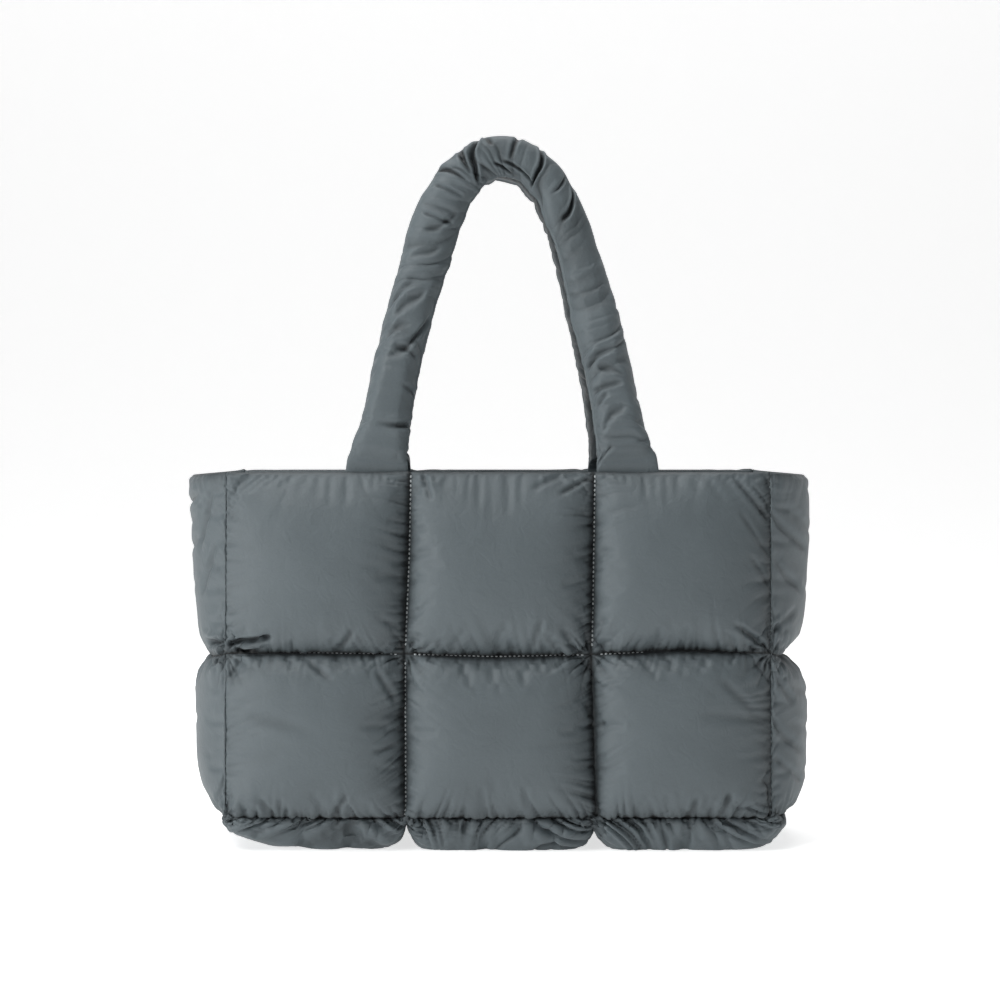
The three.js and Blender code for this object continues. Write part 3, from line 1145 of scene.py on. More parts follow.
@dataclass
class Gusset(QuiltedPad):
    """A bowed end of two puffs.

    Attributes:
        puffs: How far the lower and the upper puff stand off their seams.
        row_pull: How far the row seam is drawn in at the end's middle.
        corner: How tight its bottom corner is; see BagSizes.bow.
        pull_reach: Height over which the row seam's pull eases off.
        girth: Way round the end from corner seam to corner seam.
        oval: Power of its half oval, 2 for an ellipse and 1 for straight lines to a point.
        rolls: Shares of the girth and of the height that the rolled edges take up.
        slack: Height and pitch of the unevenness of slack cloth.
        star_depth: Height of the crumples at the ends of the row seam.
        star_reach: How far they run.
    """

    name: str
    node: str
    facing: Facing
    seed: int
    folds: tuple[Fold, ...]
    puffs: tuple[float, float]
    row_pull: float
    corner: float
    sizes: BagSizes = field(default_factory=BagSizes)
    trial: ClothTrial = field(default_factory=lambda: ClothTrial(growth=0.02, pressure=4.0))
    round_steps: int = 108
    row_steps: int = 90
    girth: float = 0.150
    # Painted shade in the wrinkles' valleys and at the corner seams.
    valley_depth: float = 0.0050
    corner_shade: tuple[float, float] = (0.15, 0.15)
    oval: float = 1.6
    pull_reach: float = 0.014
    rolls: tuple[float, float] = (0.018, 0.0063)
    slack: tuple[float, float] = (0.0009, 0.020)
    star_depth: float = 0.0020
    star_reach: float = 0.028

    def __post_init__(self) -> None:
        """Lays the grid lines round the half oval and up the two rows."""
        round_roll, up_roll = self.rolls
        self.spacing_across = Spacing((0, 1), self.round_steps, round_roll)
        self.spacing_up = Spacing((0, self.sizes.row_share, 1), self.row_steps, up_roll)

    def skin(self, across: Lines, up: Lines, side: Side) -> Array:
        """Points of one skin: a half oval, |x / a|^oval + |y / b|^oval = 1, between the corner seams.

        Args:
            across: Grid lines round the oval.
            up: Grid lines from bottom to top.
            side: Which skin.

        Returns:
            Grid of points, facing +X.
        """
        size = self.sizes
        turn = between(-np.pi / 2, np.pi / 2, across.share)[None, :]
        rim = size.rim_height - size.rim_dip * np.cos(turn)
        z = between(size.base_seam + size.half_gap, rim, up.share[:, None])
        bow = size.bow(z, size.bow_base[self.facing is Facing.AS_MADE], self.corner)
        end = np.minimum(up.share, 1 - up.share)[:, None] * size.wall
        outwards = np.clip(np.cos(turn), 0, None) ** (2 / self.oval)
        thick = size.half_seam * rolled(bow * outwards, size.corner_roll) * rolled(end, size.half_seam)
        round_swell = swell(across.share, CORNER_SEAM, CORNER_SEAM)[None, :]
        if side is Side.INNER:
            offset = -thick - size.lining(round_swell, z, rim)
        else:
            rows = swell_up(up, QUILT_SEAM)
            offset = thick + round_swell * (np.take(self.puffs, up.puff) * rows)[:, None]
        bow = bow - self.row_pull * hollow((z - size.row_seam) / self.pull_reach) * round_swell
        sideways = np.sign(turn) * np.abs(np.sin(turn)) ** (2 / self.oval)
        x = size.width / 2 + size.half_gap + (bow + offset) * outwards
        y = (size.half_depth(z) + offset) * sideways
        z = z - size.row_dip * np.cos(turn) * size.beside_row(up.share)[:, None]
        return np.stack([x, y, z], axis=-1)

    def wrinkles(self, across: Lines, up: Lines) -> Array:
        """Heights of the gathers beside the seams, the folds and the slack cloth.

        Args:
            across: Grid lines round the oval.
            up: Grid lines from bottom to top.

        Returns:
            One height for each point, zero on the seams.
        """
        size = self.sizes
        flat = self.flat(across, up)
        round_way, z = flat[..., 0], flat[..., 1]
        tall = size.row_heights(up.puff)
        front, back = across.share * self.girth, (1 - across.share) * self.girth
        low, high = up.across * tall, (1 - up.across) * tall
        row = up.puff[:, None]
        seed = self.seed
        height = gathered(z, front[None, :], CORNER_GATHERS, seed + 1)
        height += gathered(z + 0.4, back[None, :], CORNER_GATHERS, seed + 2)
        height += np.where(row == 0, gathered(round_way, low[:, None], BASE_GATHERS, seed + 3),
                           gathered(round_way + 0.5, low[:, None], QUILT_GATHERS, seed + 4))
        height += np.where(row == 1, gathered(round_way, high[:, None], HEM_GATHERS, seed + 5),
                           gathered(round_way + 0.9, high[:, None], QUILT_GATHERS, seed + 6))
        inside = off_seams(np.minimum(front, back), np.minimum(low, high))
        depth, pitch = self.slack
        height += depth * inside * Unevenness(seed + 7).field(round_way, z, pitch)
        for fold in self.folds:
            height += inside * fold.height(round_way, z)
        for number, place in enumerate((-self.girth / 2, self.girth / 2)):
            star = Crumple(place, size.row_seam, self.star_depth, self.star_reach)
            height += inside * star.height(round_way, z, seed + 20 + number)
        return height

    def flat(self, across: Lines, up: Lines) -> Array:
        """Places on the flat cloth: round the oval from its middle, and up."""
        z = between(self.sizes.base_seam, self.sizes.rim_height, up.share)
        return grid_places((across.share - 0.5) * self.girth, z)


RIGHT_FOLDS = folds(
    (-20, 250, 14, 238, 0.6, 3.6),
    (-34, 225, 8, 212, 0.7, 3.6),
    (-26, 183, 16, 170, 0.5, 3.6),
    (-34, 112, 12, 98, 0.8, 4),
    (-40, 86, 4, 78, 0.7, 3.8),
    (-26, 52, 12, 44, 0.6, 3.6),
    (-70, 228, -30, 208, 2.2, 3.6),
    (-60, 195, -34, 180, 1.6, 3.2),
    (-66, 150, -40, 164, 1.4, 3.6),
    (-70, 90, -34, 68, 1.8, 3.6),
    (-60, 62, -30, 46, 1.6, 3.2),
    (-68, 122, -44, 105, 2, 3.4),
    (30, 100, 60, 80, 1.6, 3.6),
    (24, 230, 62, 208, 1.8, 3.6),
)
LEFT_FOLDS = folds(
    (30, 242, -10, 233, 2, 3.4),
    (26, 227, -14, 216, 0.6, 3.6),
    (34, 214, -6, 201, 1.3, 3.6),
    (20, 184, -16, 172, 0.5, 3.6),
    (24, 90, -12, 82, 0.6, 4),
    (74, 142, 44, 144, 6, 2.4),
    (72, 137, 50, 128, 5, 2.4),
    (50, 240, 36, 210, 1.8, 3.4),
    (52, 205, 38, 180, 1.6, 3.4),
    (70, 50, 52, 32, 1.4, 3.4),
    (-60, 220, -30, 200, 1.8, 3.6),
    (-66, 90, -36, 72, 1.6, 3.6),
)


@dataclass
class BaseTray(QuiltedPad):
    """The base: three puffs in a shallow tray that curls up to the seam round it.

    Attributes:
        curls: How tight the left and the right end curl up; the larger, the tighter.
        square: Power of the tray's section, 2 for an ellipse; the larger, the squarer.
        crowd: Power that crowds the grid's rows towards the front and the back.
        rolls: Shares of the width and of the way round that the rolled edges take up.
        slack: Height and pitch of the unevenness of slack cloth.
    """

    name: str
    node: str
    seed: int
    facing: Facing = Facing.AS_MADE
    sizes: BagSizes = field(default_factory=BagSizes)
    trial: ClothTrial = field(default_factory=lambda: ClothTrial(growth=0.07, pressure=4.0, cap=0.004))
    column_steps: int = 120
    round_steps: int = 150
    curls: tuple[float, float] = (2.6, 4.2)
    square: float = 2.8
    crowd: float = 1.3
    rolls: tuple[float, float] = (0.004, 0.02)
    slack: tuple[float, float] = (0.0007, 0.018)
    # Painted shade in the wrinkles' valleys.
    valley_depth: float = 0.0034

    def __post_init__(self) -> None:
        """Lays the grid lines along the three puffs and round the tray."""
        across_roll, round_roll = self.rolls
        self.spacing_across = Spacing((0, 1 / 3, 2 / 3, 1), self.column_steps, across_roll)
        self.spacing_up = Spacing((0, 1), self.round_steps, round_roll, crowding=0.0)

    def skin(self, across: Lines, up: Lines, side: Side) -> Array:
        """Points of one skin: a squared half oval from the back seam under the bag to the front one.

        Its section is |y / a|^square + |z / b|^square = 1, and b falls to 0 at each end of the
        bag as (1 - |x / length|^curl)^(1 / curl).

        Args:
            across: Grid lines from side to side.
            up: Grid lines round the tray, from back to front.
            side: Which skin.

        Returns:
            Grid of points, facing -Z, none of them under the floor.
        """
        size = self.sizes
        s = 2 * across.share[None, :] - 1
        curl = np.where(s < 0, *self.curls)
        level = (1 - np.clip(np.abs(s), 0, 1) ** curl) ** (1 / curl)
        outwards = np.sign(s) * np.sqrt(np.clip(1 - level**2, 0, None))
        back = 1 - 2 * up.share[:, None]
        turn = np.sign(back) * np.pi / 2 * (1 - (1 - np.abs(back)) ** self.crowd)
        down_share = np.clip(np.cos(turn), 0, None) ** (2 / self.square)
        back_share = np.sign(turn) * np.abs(np.sin(turn)) ** (2 / self.square)
        round_swell = swell(up.share, QUILT_SEAM, QUILT_SEAM)[:, None]
        thick = size.half_seam * rolled(size.base_drop * down_share * level, size.half_seam)
        if side is Side.INNER:
            inward = size.lining_puff * swell(across.share, QUILT_SEAM, QUILT_SEAM)[None, :] * round_swell
            down = sideways = -thick - inward
        else:
            columns = swell(across.across, QUILT_SEAM, QUILT_SEAM)
            columns = np.where(outer_halves(across), swell(across.across, BASE_END, BASE_END), columns)
            outward = size.base_puff * columns[None, :] * round_swell
            down = thick + outward
            sideways = thick + size.base_overhang * outward
        length = size.width / 2 + size.half_gap + np.where(s < 0, *size.bow_base) * down_share
        x = s * length + sideways * outwards * down_share
        y = (size.depth / 2 + sideways) * back_share
        z = size.base_seam - size.half_gap - (size.base_drop + down) * down_share * level
        return self.settle(np.stack([x, y, z], axis=-1))

    def settle(self, points: Array) -> Array:
        """Keeps the skin above the floor."""
        points[..., 2] = np.maximum(points[..., 2], 0)
        return points

    def wrinkles(self, across: Lines, up: Lines) -> Array:
        """Heights of the deep gathers beside the seam round the base and the quilting seams.

        Args:
            across: Grid lines from side to side.
            up: Grid lines round the tray.

        Returns:
            One height for each point, zero on the seams.
        """
        size = self.sizes
        flat = self.flat(across, up)
        x, way = flat[..., 0], flat[..., 1]
        wide, tall = size.width / 3, flat[-1, 0, 1] - flat[0, 0, 1]
        left, right = across.across * wide, (1 - across.across) * wide
        back, front = up.share * tall, (1 - up.share) * tall
        seed = self.seed
        height = gathered(x, front[:, None], LOBE_GATHERS, seed + 1)
        height += gathered(x + 0.6, back[:, None], LOBE_GATHERS, seed + 2)
        column = across.puff[None, :]
        height += gathered(way + 0.5 * column, left[None, :], QUILT_GATHERS, seed + 3)
        height += gathered(way + 0.5 * column + 0.21, right[None, :], QUILT_GATHERS, seed + 4)
        inside = off_seams(np.minimum(left, right), np.minimum(back, front))
        depth, pitch = self.slack
        return height + depth * inside * Unevenness(seed + 5).field(x, way, pitch)

    def flat(self, across: Lines, up: Lines) -> Array:
        """Places on the flat cloth: across, and round the tray from its middle."""
        girth = self.sizes.depth + 2 * self.sizes.base_seam
        return grid_places((across.share - 0.5) * self.sizes.width, (up.share - 0.5) * girth)


@dataclass(frozen=True)
class Station:
    """A point on a handle's leg.

    Attributes:
        out: Share of half the spread.
        up: Share of the rise over the rim.
        lean: Share of the way to the middle of the bag.
        fill: Share of full padding.
        width: Width of the handle there.
    """

    out: float
    up: float
    lean: float
    fill: float
    width: float


@dataclass(frozen=True)
class Pinch:
    """A crease across a handle.

    Attributes:
        along: Share of the handle's length, from its left end.
        depth: Share of its width.
        reach: Half of it is a share of its width too.
    """

    along: float
    depth: float
    reach: float


FRONT_HANDLE_FOLDS = folds(
    (-21.5, -12, 10, -25.4, 4.6, 2.1),
    (-21.5, -22.4, 0, -25.4, 3.5, 1.8),
    (-21.5, -38.1, 1.1, -33.6, 2.4, 1.7),
    (-21.5, 20.2, 12, 32.1, 4, 1.5),
    (4.5, 4.5, 11, 29.9, 2.4, 1.5),
    (5.6, -5.2, 15.6, 9, 2.2, 1.5),
    (-20, 49.3, 0, 65.8, 3.5, 1.7),
    (-1.1, 46.4, -15.6, 41.9, 1.8, 1.5),
    (-10, -47.1, 5.6, -45.6, 2, 1.8),
    (-6.7, -67.3, 7.8, -67.3, 1.8, 1.8),
    (-8.9, -6, -21.5, -7.5, 1.5, 1.5),
    (-25.6, 7.5, -1.1, 6, 1.5, 1.5),
    (15.6, 171.2, -1.1, 162.2, 1.7, 2.6),
    (3.3, 174.2, -5.6, 180.9, 1.4, 2.6),
    (13.4, 189.2, -2.2, 186.9, 1.9, 2.6),
    (12.2, 198.1, 3.3, 193.6, 1.6, 2.2),
    (7.8, 215.3, -1.1, 204.1, 1.4, 2.6),
    (18.9, 241.5, 5.6, 230.3, 2.2, 2.4),
    (-5.6, -139.1, 3.3, -121.1, 1.8, 2.6),
    (-1.1, -166, 15.6, -139.8, 2.2, 2.6),
    (0, -161.5, 11.1, -165.2, 1.8, 2.4),
    (-14.5, -133.1, -2.2, -117.4, 1.7, 2.6),
    (7.8, -187.7, 22, -189.2, 1.6, 2.4),
    (2.2, -215.3, 20, -210.8, 2.8, 2.8),
    (-1.1, -76.3, 8.9, -61.3, 1.8, 2.4),
    (-11.1, -61.3, 5.6, -59.1, 1.6, 2.6),
    (-5.6, -98.7, 4.5, -89, 1.4, 2.6),
    (-8.9, -156.3, -1.1, -145, 1.2, 2.6),
)
BACK_HANDLE_FOLDS = folds(
    (-21.5, 15, 9, 27, 3.6, 2),
    (-21.5, -24, 6, -33, 3.2, 2.6),
    (3, 1, 14, -12, 2.2, 2.4),
    (-18, 45, 1, 56, 2.8, 2.6),
    (-6, -58, 10, -52, 1.8, 2.6),
    (-4, 90, 10, 103, 1.6, 2.6),
    (10, -110, -6, -101, 1.8, 2.6),
    (-8, 142, 6, 157, 1.6, 2.6),
    (14, -168, -2, -156, 2, 2.6),
    (12, 196, -2, 186, 1.8, 2.6),
    (16, -220, 2, -208, 2.2, 2.6),
    (-4, 216, 12, 225, 2, 2.6),
)


@dataclass
class PaddedHandle:
    """A padded arch whose two flat ends are sewn inside the rim.

    Attributes:
        folds: Its single folds, round it and along it from the middle of the arch.
        shift: How far it stands to the right.
        slim: How much narrower it is where it is padded.
        lopsided: Share by which it is wider on one side of the top and narrower on the other.
        spread: Leg to leg at the rim.
        rise: Rim to the arch's top.
        seat_gap: Clearance between a flat end and the panel.
        top_gap: Clearance between the two handles where they lean together.
        radius: Half its thickness, by which turns become distances.
        seam_turn: Where the sewn edge runs, as a turn from the back.
        coarseness: Steps of the grid in one of the cloth trial's.
        arch_reach: From the middle of the arch to where it counts as leg.
        creases: Heights of the tight and the broad creases, on the arch and on the legs.
        slack: Height and pitch of the unevenness on the legs.
        valleys: Depth of a crease whose painted shade is darkest, on the legs and on the arch.
    """

    name: str
    node: str
    facing: Facing
    seed: int
    folds: tuple[Fold, ...]
    shift: float
    slim: float
    lopsided: float
    sizes: BagSizes = field(default_factory=BagSizes)
    trial: ClothTrial = field(
        default_factory=lambda: ClothTrial(growth=0.05, pressure=3.0, cap=0.0035, frames=18))
    spread: float = 0.173
    rise: float = 0.214
    thickness: float = 0.027
    tab_width: float = 0.044
    tab_thickness: float = 0.003
    tab_length: float = 0.024
    seat_gap: float = 0.0003
    top_gap: float = 0.002
    radius: float = 0.0170
    seam_turn: float = 1.42 * math.pi
    seam_ridge: float = 0.0012
    seam_width: float = 0.0011
    sides: int = 120
    steps: int = 720
    coarseness: int = 2
    arch_reach: float = 0.13
    creases: tuple[tuple[float, float], ...] = ((0.0008, 0.0021), (0.0005, 0.0012))
    slack: tuple[float, float] = (0.0007, 0.020)
    valleys: tuple[float, float] = (0.0034, 0.0015)
    stations: tuple[Station, ...] = (
        Station(0.99, 0.0, 0.0, 0.0, 0.0425),
        Station(0.985, 0.03, 0.04, 0.16, 0.0415),
        Station(0.967, 0.08, 0.13, 0.62, 0.0395),
        Station(0.922, 0.17, 0.28, 0.88, 0.0372),
        Station(0.846, 0.32, 0.49, 0.98, 0.0362),
        Station(0.746, 0.48, 0.68, 1.0, 0.0358),
        Station(0.635, 0.641, 0.84, 1.0, 0.0338),
        Station(0.513, 0.803, 0.94, 1.0, 0.0318),
        Station(0.345, 0.934, 0.99, 1.0, 0.0300),
        Station(0.182, 0.991, 1.0, 0.98, 0.0290),
        Station(0.0, 1.0128, 1.0, 0.95, 0.0285),
    )
    pinches: tuple[Pinch, ...] = (
        Pinch(0.12, 0.02, 0.4),
        Pinch(0.3, 0.03, 0.3),
        Pinch(0.42, 0.06, 0.2),
        Pinch(0.46, 0.07, 0.2),
        Pinch(0.54, 0.06, 0.2),
        Pinch(0.58, 0.07, 0.2),
        Pinch(0.66, 0.04, 0.3),
        Pinch(0.87, 0.02, 0.4),
    )

    def line(self) -> tuple[Array, Array, Array]:
        """Centre line of the handle, from the bottom of its left end over the arch to its right.

        Returns:
            Points at even distances along it, and the share of full padding and the width at each.
        """
        size = self.sizes
        seat = size.rim_depth / 2 - size.half_seam - self.seat_gap - self.tab_thickness / 2
        top = self.thickness / 2 + self.top_gap / 2
        slope = (size.depth - size.rim_depth) / 2 / (size.rim_height - size.row_seam)
        half = self.spread / 2
        left = [(-half, -seat - low * slope, size.rim_height - low, 0.0, self.tab_width)
                for low in (self.tab_length, self.tab_length / 2)]
        left += [(-half * at.out, -between(seat, top, at.lean), size.rim_height + at.up * self.rise,
                  at.fill, at.width) for at in self.stations]
        knots = np.array(left + [(-knot[0], *knot[1:]) for knot in left[-2::-1]])
        curve, place = smooth_curve(knots[:, :3], 40)
        low = np.minimum(np.floor(place), len(knots) - 2).astype(int)
        part = place - low
        eased = part * part * (3 - 2 * part)
        fill = between(knots[low, 3], knots[low + 1, 3], eased)
        width = between(knots[low, 4], knots[low + 1, 4], part)
        gone = np.concatenate([[0], np.cumsum(np.linalg.norm(np.diff(curve, axis=0), axis=1))])
        even = np.linspace(0, gone[-1], self.steps + 1)
        points = np.stack([np.interp(even, gone, curve[:, axis]) for axis in range(3)], axis=-1)
        fill, width = np.interp(even, gone, fill), np.interp(even, gone, width)
        beside_top = np.sin(np.pi * np.clip(np.linspace(-2, 2, self.steps + 1), -1, 1))
        return points, fill, (width - self.slim * fill) * (1 - self.lopsided * beside_top)

    def skin(self, step: int = 1) -> tuple[Array, Array, Array]:
        """Points of the smooth padded tube: |x / a|^power + |y / b|^power = 1 square across its line.

        The power falls from 5 on the flat ends, which are nearly oblong, to 2.7 where it is padded.

        Args:
            step: Takes every so many rows and sides.

        Returns:
            Grid of points along by around, distances along, and padding along.
        """
        centre, fill, width = self.line()
        tangent = np.gradient(centre, axis=0)
        tangent /= np.linalg.norm(tangent, axis=1, keepdims=True)
        back = np.array([0, 1, 0]) - tangent * tangent[:, 1:2]
        back /= np.linalg.norm(back, axis=1, keepdims=True)
        across = np.cross(tangent, back)
        way = np.concatenate([[0], np.cumsum(np.linalg.norm(np.diff(centre, axis=0), axis=1))])
        pinch = np.zeros(len(way))
        for crease in self.pinches:
            apart = np.abs(way - crease.along * way[-1])
            pinch += crease.depth * hollow(apart / (2 * crease.reach * width))
        turn = self.turns()
        power = between(5.0, 2.7, fill)[:, None]
        sideways, backways = np.sin(turn)[None, :], np.cos(turn)[None, :]
        out = np.sign(sideways) * np.abs(sideways) ** (2 / power)
        behind = np.sign(backways) * np.abs(backways) ** (2 / power)
        width = width * (1 - pinch * fill)
        thick = between(self.tab_thickness, self.thickness, fill) * (1 - pinch * fill)
        grid = (centre[:, None] + across[:, None] * (out * width[:, None] / 2)[..., None]
                + back[:, None] * (behind * thick[:, None] / 2)[..., None])
        return grid[::step, ::step], way[::step], fill[::step]

    def turns(self) -> Array:
        """Turns round the handle of its grid's columns, from the back."""
        return np.arange(self.sides) / self.sides * 2 * np.pi

    def arch(self, way: Array) -> Array:
        """1 at the middle of the arch and 0 on the legs, at distances along the handle."""
        return hollow(np.abs(way - way[-1] / 2) / self.arch_reach)

    def wrinkles(self, way: Array, fill: Array) -> Array:
        """Heights of the creases: those across the arch, deepest inside it, and slanted ones on the legs.

        A crease is 2 |wave|^0.6 - 1 of a random wave. The sewn edge is a ridge
        e^(-(distance / width)^2) along the inner side of the arch.

        Args:
            way: Distances along the handle.
            fill: Padding along the handle.

        Returns:
            Heights, along by around.
        """
        turn = self.turns()[None, :]
        along = way[:, None]
        arch = self.arch(way)[:, None]
        leg = 1 - arch
        inside = 0.5 - 0.5 * np.sin(turn)
        slant = 0.013 * np.sin(turn + 3 * Unevenness(self.seed + 1).line(along, 0.06))
        tight = 2 * np.abs(Unevenness(self.seed + 2).line(along + 0.5 * slant, 0.0052)) ** 0.6 - 1
        broad = 2 * np.abs(Unevenness(self.seed + 3).line(along + slant, 0.013)) ** 0.7 - 1
        round_way = (turn - np.pi) * self.radius
        depth, pitch = self.slack
        loose = depth * Unevenness(self.seed + 4).field(along + 0.4 * round_way, round_way, pitch)
        patches = hollow(1.1 * Unevenness(self.seed + 5).field(along, round_way, 0.030))
        facing = np.abs(np.cos(turn)) ** 0.7
        on_arch, on_legs = (low * tight + high * broad for low, high in self.creases)
        height = arch * facing * (0.35 + 0.65 * inside) * on_arch
        height += leg * facing * (patches * on_legs + loose)
        for fold in self.folds:
            height = height + fold.height(round_way, along - way[-1] / 2)
        from_seam = (turn - self.seam_turn) * self.radius
        height = height + self.seam_ridge * np.exp(-((from_seam / self.seam_width) ** 2))
        return height * np.clip(fill * 1.5, 0, 1)[:, None]

    def build(self) -> tuple[bpy.types.Object, list[tuple[Array, Array]]]:
        """Builds the handle's mesh, with a face over each flat end.

        Returns:
            The finished piece, and the lines of stitching on its ends.
        """
        points, way, fill = self.skin()
        step = self.coarseness
        start, _, coarse_fill = self.skin(step)
        held = np.broadcast_to((coarse_fill < 0.15)[:, None], start.shape[:2]).copy()
        moved = self.trial.run(start, held, self.seed, closed=True)
        normals = grid_normals(start, closed=True)
        swollen = np.sum(moved * normals, axis=-1).mean(axis=1)
        padded = coarse_fill * coarse_fill * (3 - 2 * coarse_fill)
        moved = (moved - normals * swollen[:, None, None]) * padded[:, None, None]
        wrapped = np.hstack([moved, moved[:, :1]])
        tall, wide = stretch_matrix(len(moved) - 1, step), stretch_matrix(wrapped.shape[1] - 1, step)
        points = points + resampled(wrapped, tall, wide)[:, :-1]
        wrinkled = self.wrinkles(way, fill)
        points += grid_normals(points, closed=True) * wrinkled[..., None]
        points[..., :2] *= self.facing.value
        points[..., 0] += self.shift
        faces = grid_faces(points.shape, closed=True)
        last = (len(points) - 1) * self.sides
        ends = [list(range(self.sides))[::-1], list(range(last, last + self.sides))]
        piece = mesh_object(self.name, points.reshape(-1, 3), faces.tolist() + ends)
        girth = 2 * np.pi * self.radius
        round_way = np.arange(self.sides + 1) / self.sides * girth
        sheet = grid_places(round_way, way)
        corners = sheet[:-1, :-1], sheet[:-1, 1:], sheet[1:, 1:], sheet[1:, :-1]
        flat = np.stack(corners, axis=2).reshape(-1, 2)
        caps = np.zeros((2 * self.sides, 2))
        # Painted shade: the side that faces the other handle and the creases' valleys are darkened.
        painted_shade_towards_other = np.sqrt(np.cos(self.turns()).clip(0))[None, :] * fill[:, None]
        darkest = between(*self.valleys, self.arch(way)[:, None])
        creased = np.clip(valley(wrinkled, darkest) + painted_shade_towards_other, 0, 1)
        add_surface_data(piece, np.concatenate([flat, caps]), creased)
        return piece, self.sewn_ends(points, way[-1])

    def sewn_ends(self, points: Array, length: float) -> list[tuple[Array, Array]]:
        """Lines of stitching on the inner faces of the two flat ends.

        Args:
            points: The finished grid, along by around.
            length: Length of the handle.

        Returns:
            Lines and the ways out of the cloth along them: down both sides and across, at each end.
        """
        normals = grid_normals(points, closed=True)
        side, last = round(0.08 * self.sides), len(points) - 1
        flat_steps = self.tab_length / length * self.steps
        low, high = round(0.15 * flat_steps), round(0.9 * flat_steps)
        lines = []
        for first, end in ((low, high), (last - low, last - high)):
            run = np.arange(first, end, 1 if end > first else -1)
            spots = [(run, np.full(len(run), place)) for place in (side, -side)]
            beside = np.arange(-side, side + 1)
            spots.append((np.full(len(beside), first), beside))
            lines += [(points[spot], normals[spot]) for spot in spots]
        return lines


def smooth_curve(knots: Array, steps: int) -> tuple[Array, Array]:
    """Centripetal Catmull-Rom curve through knots.

    Args:
        knots: Knots by 3.
        steps: Steps between two knots.

    Returns:
        Points along the curve, and the number of knots passed at each.
    """
    ends = 2 * knots[0] - knots[1], 2 * knots[-1] - knots[-2]
    k = np.vstack([ends[0], knots, ends[1]])
    gap = np.linalg.norm(np.diff(k, axis=0), axis=1, keepdims=True) ** 0.5
    g0, g1, g2 = gap[:-2], gap[1:-1], gap[2:]
    p0, p1, p2, p3 = k[:-3], k[1:-2], k[2:-1], k[3:]
    m1 = ((p1 - p0) / g0 - (p2 - p0) / (g0 + g1) + (p2 - p1) / g1) * g1
    m2 = ((p2 - p1) / g1 - (p3 - p1) / (g1 + g2) + (p3 - p2) / g2) * g1
    t = (np.arange(steps) / steps)[None, :, None]
    a, b, m, n = (part[:, None] for part in (p1, p2, m1, m2))
    curve = a + m * t + (3 * (b - a) - 2 * m - n) * t**2 + (2 * (a - b) + m + n) * t**3
    place = (np.arange(len(p1))[:, None] + t[0, :, 0][None, :]).ravel()
    return np.vstack([curve.reshape(-1, 3), knots[-1]]), np.append(place, len(p1))


@dataclass(frozen=True)
class Stitching:
    """Rows of thread stitches laid along lines on the cloth.

    Attributes:
        pitch: Distance from stitch to stitch.
        length: Length of a stitch that shows.
        radius: Half the thickness of the thread.
        sides: Sides of the thread.
    """

    pitch: float = 0.0030
    length: float = 0.0019
    radius: float = 0.00060
    sides: int = 6

    def row(self, line: Array, outwards: Array) -> Array:
        """Points of the stitches along one line.

        Args:
            line: Points along the line.
            outwards: Ways out of the cloth at those points.

        Returns:
            Stitches by rings by sides by 3. A stitch is a thin bow that dips into the cloth at
            its ends: its middle stands up as (1 - t^2), and its radius shrinks as (1 - t^4)^(1/2).
        """
        gone = np.concatenate([[0], np.cumsum(np.linalg.norm(np.diff(line, axis=0), axis=1))])
        count = max(1, int(gone[-1] / self.pitch))
        middle = (np.arange(count) + 0.5) * gone[-1] / count
        t = np.array([-1, -0.8, -0.35, 0.35, 0.8, 1])
        place = middle[:, None] + t[None, :] * self.length / 2
        centre = np.stack([np.interp(place, gone, line[:, axis]) for axis in range(3)], axis=-1)
        out = np.stack([np.interp(place, gone, outwards[:, axis]) for axis in range(3)], axis=-1)
        out /= np.linalg.norm(out, axis=-1, keepdims=True)
        along = centre[:, -1] - centre[:, 0]
        along /= np.linalg.norm(along, axis=-1, keepdims=True)
        beside = np.cross(along[:, None], out)
        centre = centre + out * (self.radius * (1.1 * (1 - t**2) - 0.3))[None, :, None]
        radius = (self.radius * np.sqrt(np.clip(1 - t**4, 0.05, None)))[None, :, None, None]
        turn = np.arange(self.sides) / self.sides * 2 * np.pi
        ring = (np.cos(turn)[None, None, :, None] * beside[:, :, None]
                + np.sin(turn)[None, None, :, None] * out[:, :, None])
        return centre[:, :, None] + radius * ring

    def build(self, name: str, rows: Sequence[tuple[Array, Array]]) -> bpy.types.Object:
        """Builds one piece of all the stitches along several lines.

        Args:
            name: Name of the piece.
            rows: Lines and the ways out of the cloth along them.

        Returns:
            The finished piece.
        """
        stitches = np.concatenate([self.row(line, outwards) for line, outwards in rows])
        count, rings, sides = stitches.shape[:3]
        one = grid_faces((rings, sides), closed=True)
        starts = np.arange(count)[:, None, None] * rings * sides
        tubes = (one[None] + starts).reshape(-1, 4).tolist()
        first = np.arange(sides)[::-1][None] + starts[:, 0]
        last = np.arange(sides)[None] + starts[:, 0] + (rings - 1) * sides
        piece = mesh_object(name, stitches.reshape(-1, 3), tubes + first.tolist() + last.tolist())
        add_surface_data(piece, stitches.reshape(-1, 3)[:, :2], np.zeros(count * rings * sides))
        return piece


def node_group(name: str, inputs: dict[str, str], outputs: dict[str, str]) -> bpy.types.NodeTree:
    """Makes an empty shader node group with named sockets.

    Args:
        name: Name of the group.
        inputs: Kinds of the input sockets by name.
        outputs: Kinds of the output sockets by name.

    Returns:
        The group, with its input and output nodes.
    """
    tree = bpy.data.node_groups.new(name, "ShaderNodeTree")
    for label, kind in inputs.items():
        tree.interface.new_socket(name=label, in_out="INPUT", socket_type=f"NodeSocket{kind}")
    for label, kind in outputs.items():
        tree.interface.new_socket(name=label, in_out="OUTPUT", socket_type=f"NodeSocket{kind}")
    tree.nodes.new("NodeGroupInput").name = "in"
    tree.nodes.new("NodeGroupOutput").name = "out"
    return tree


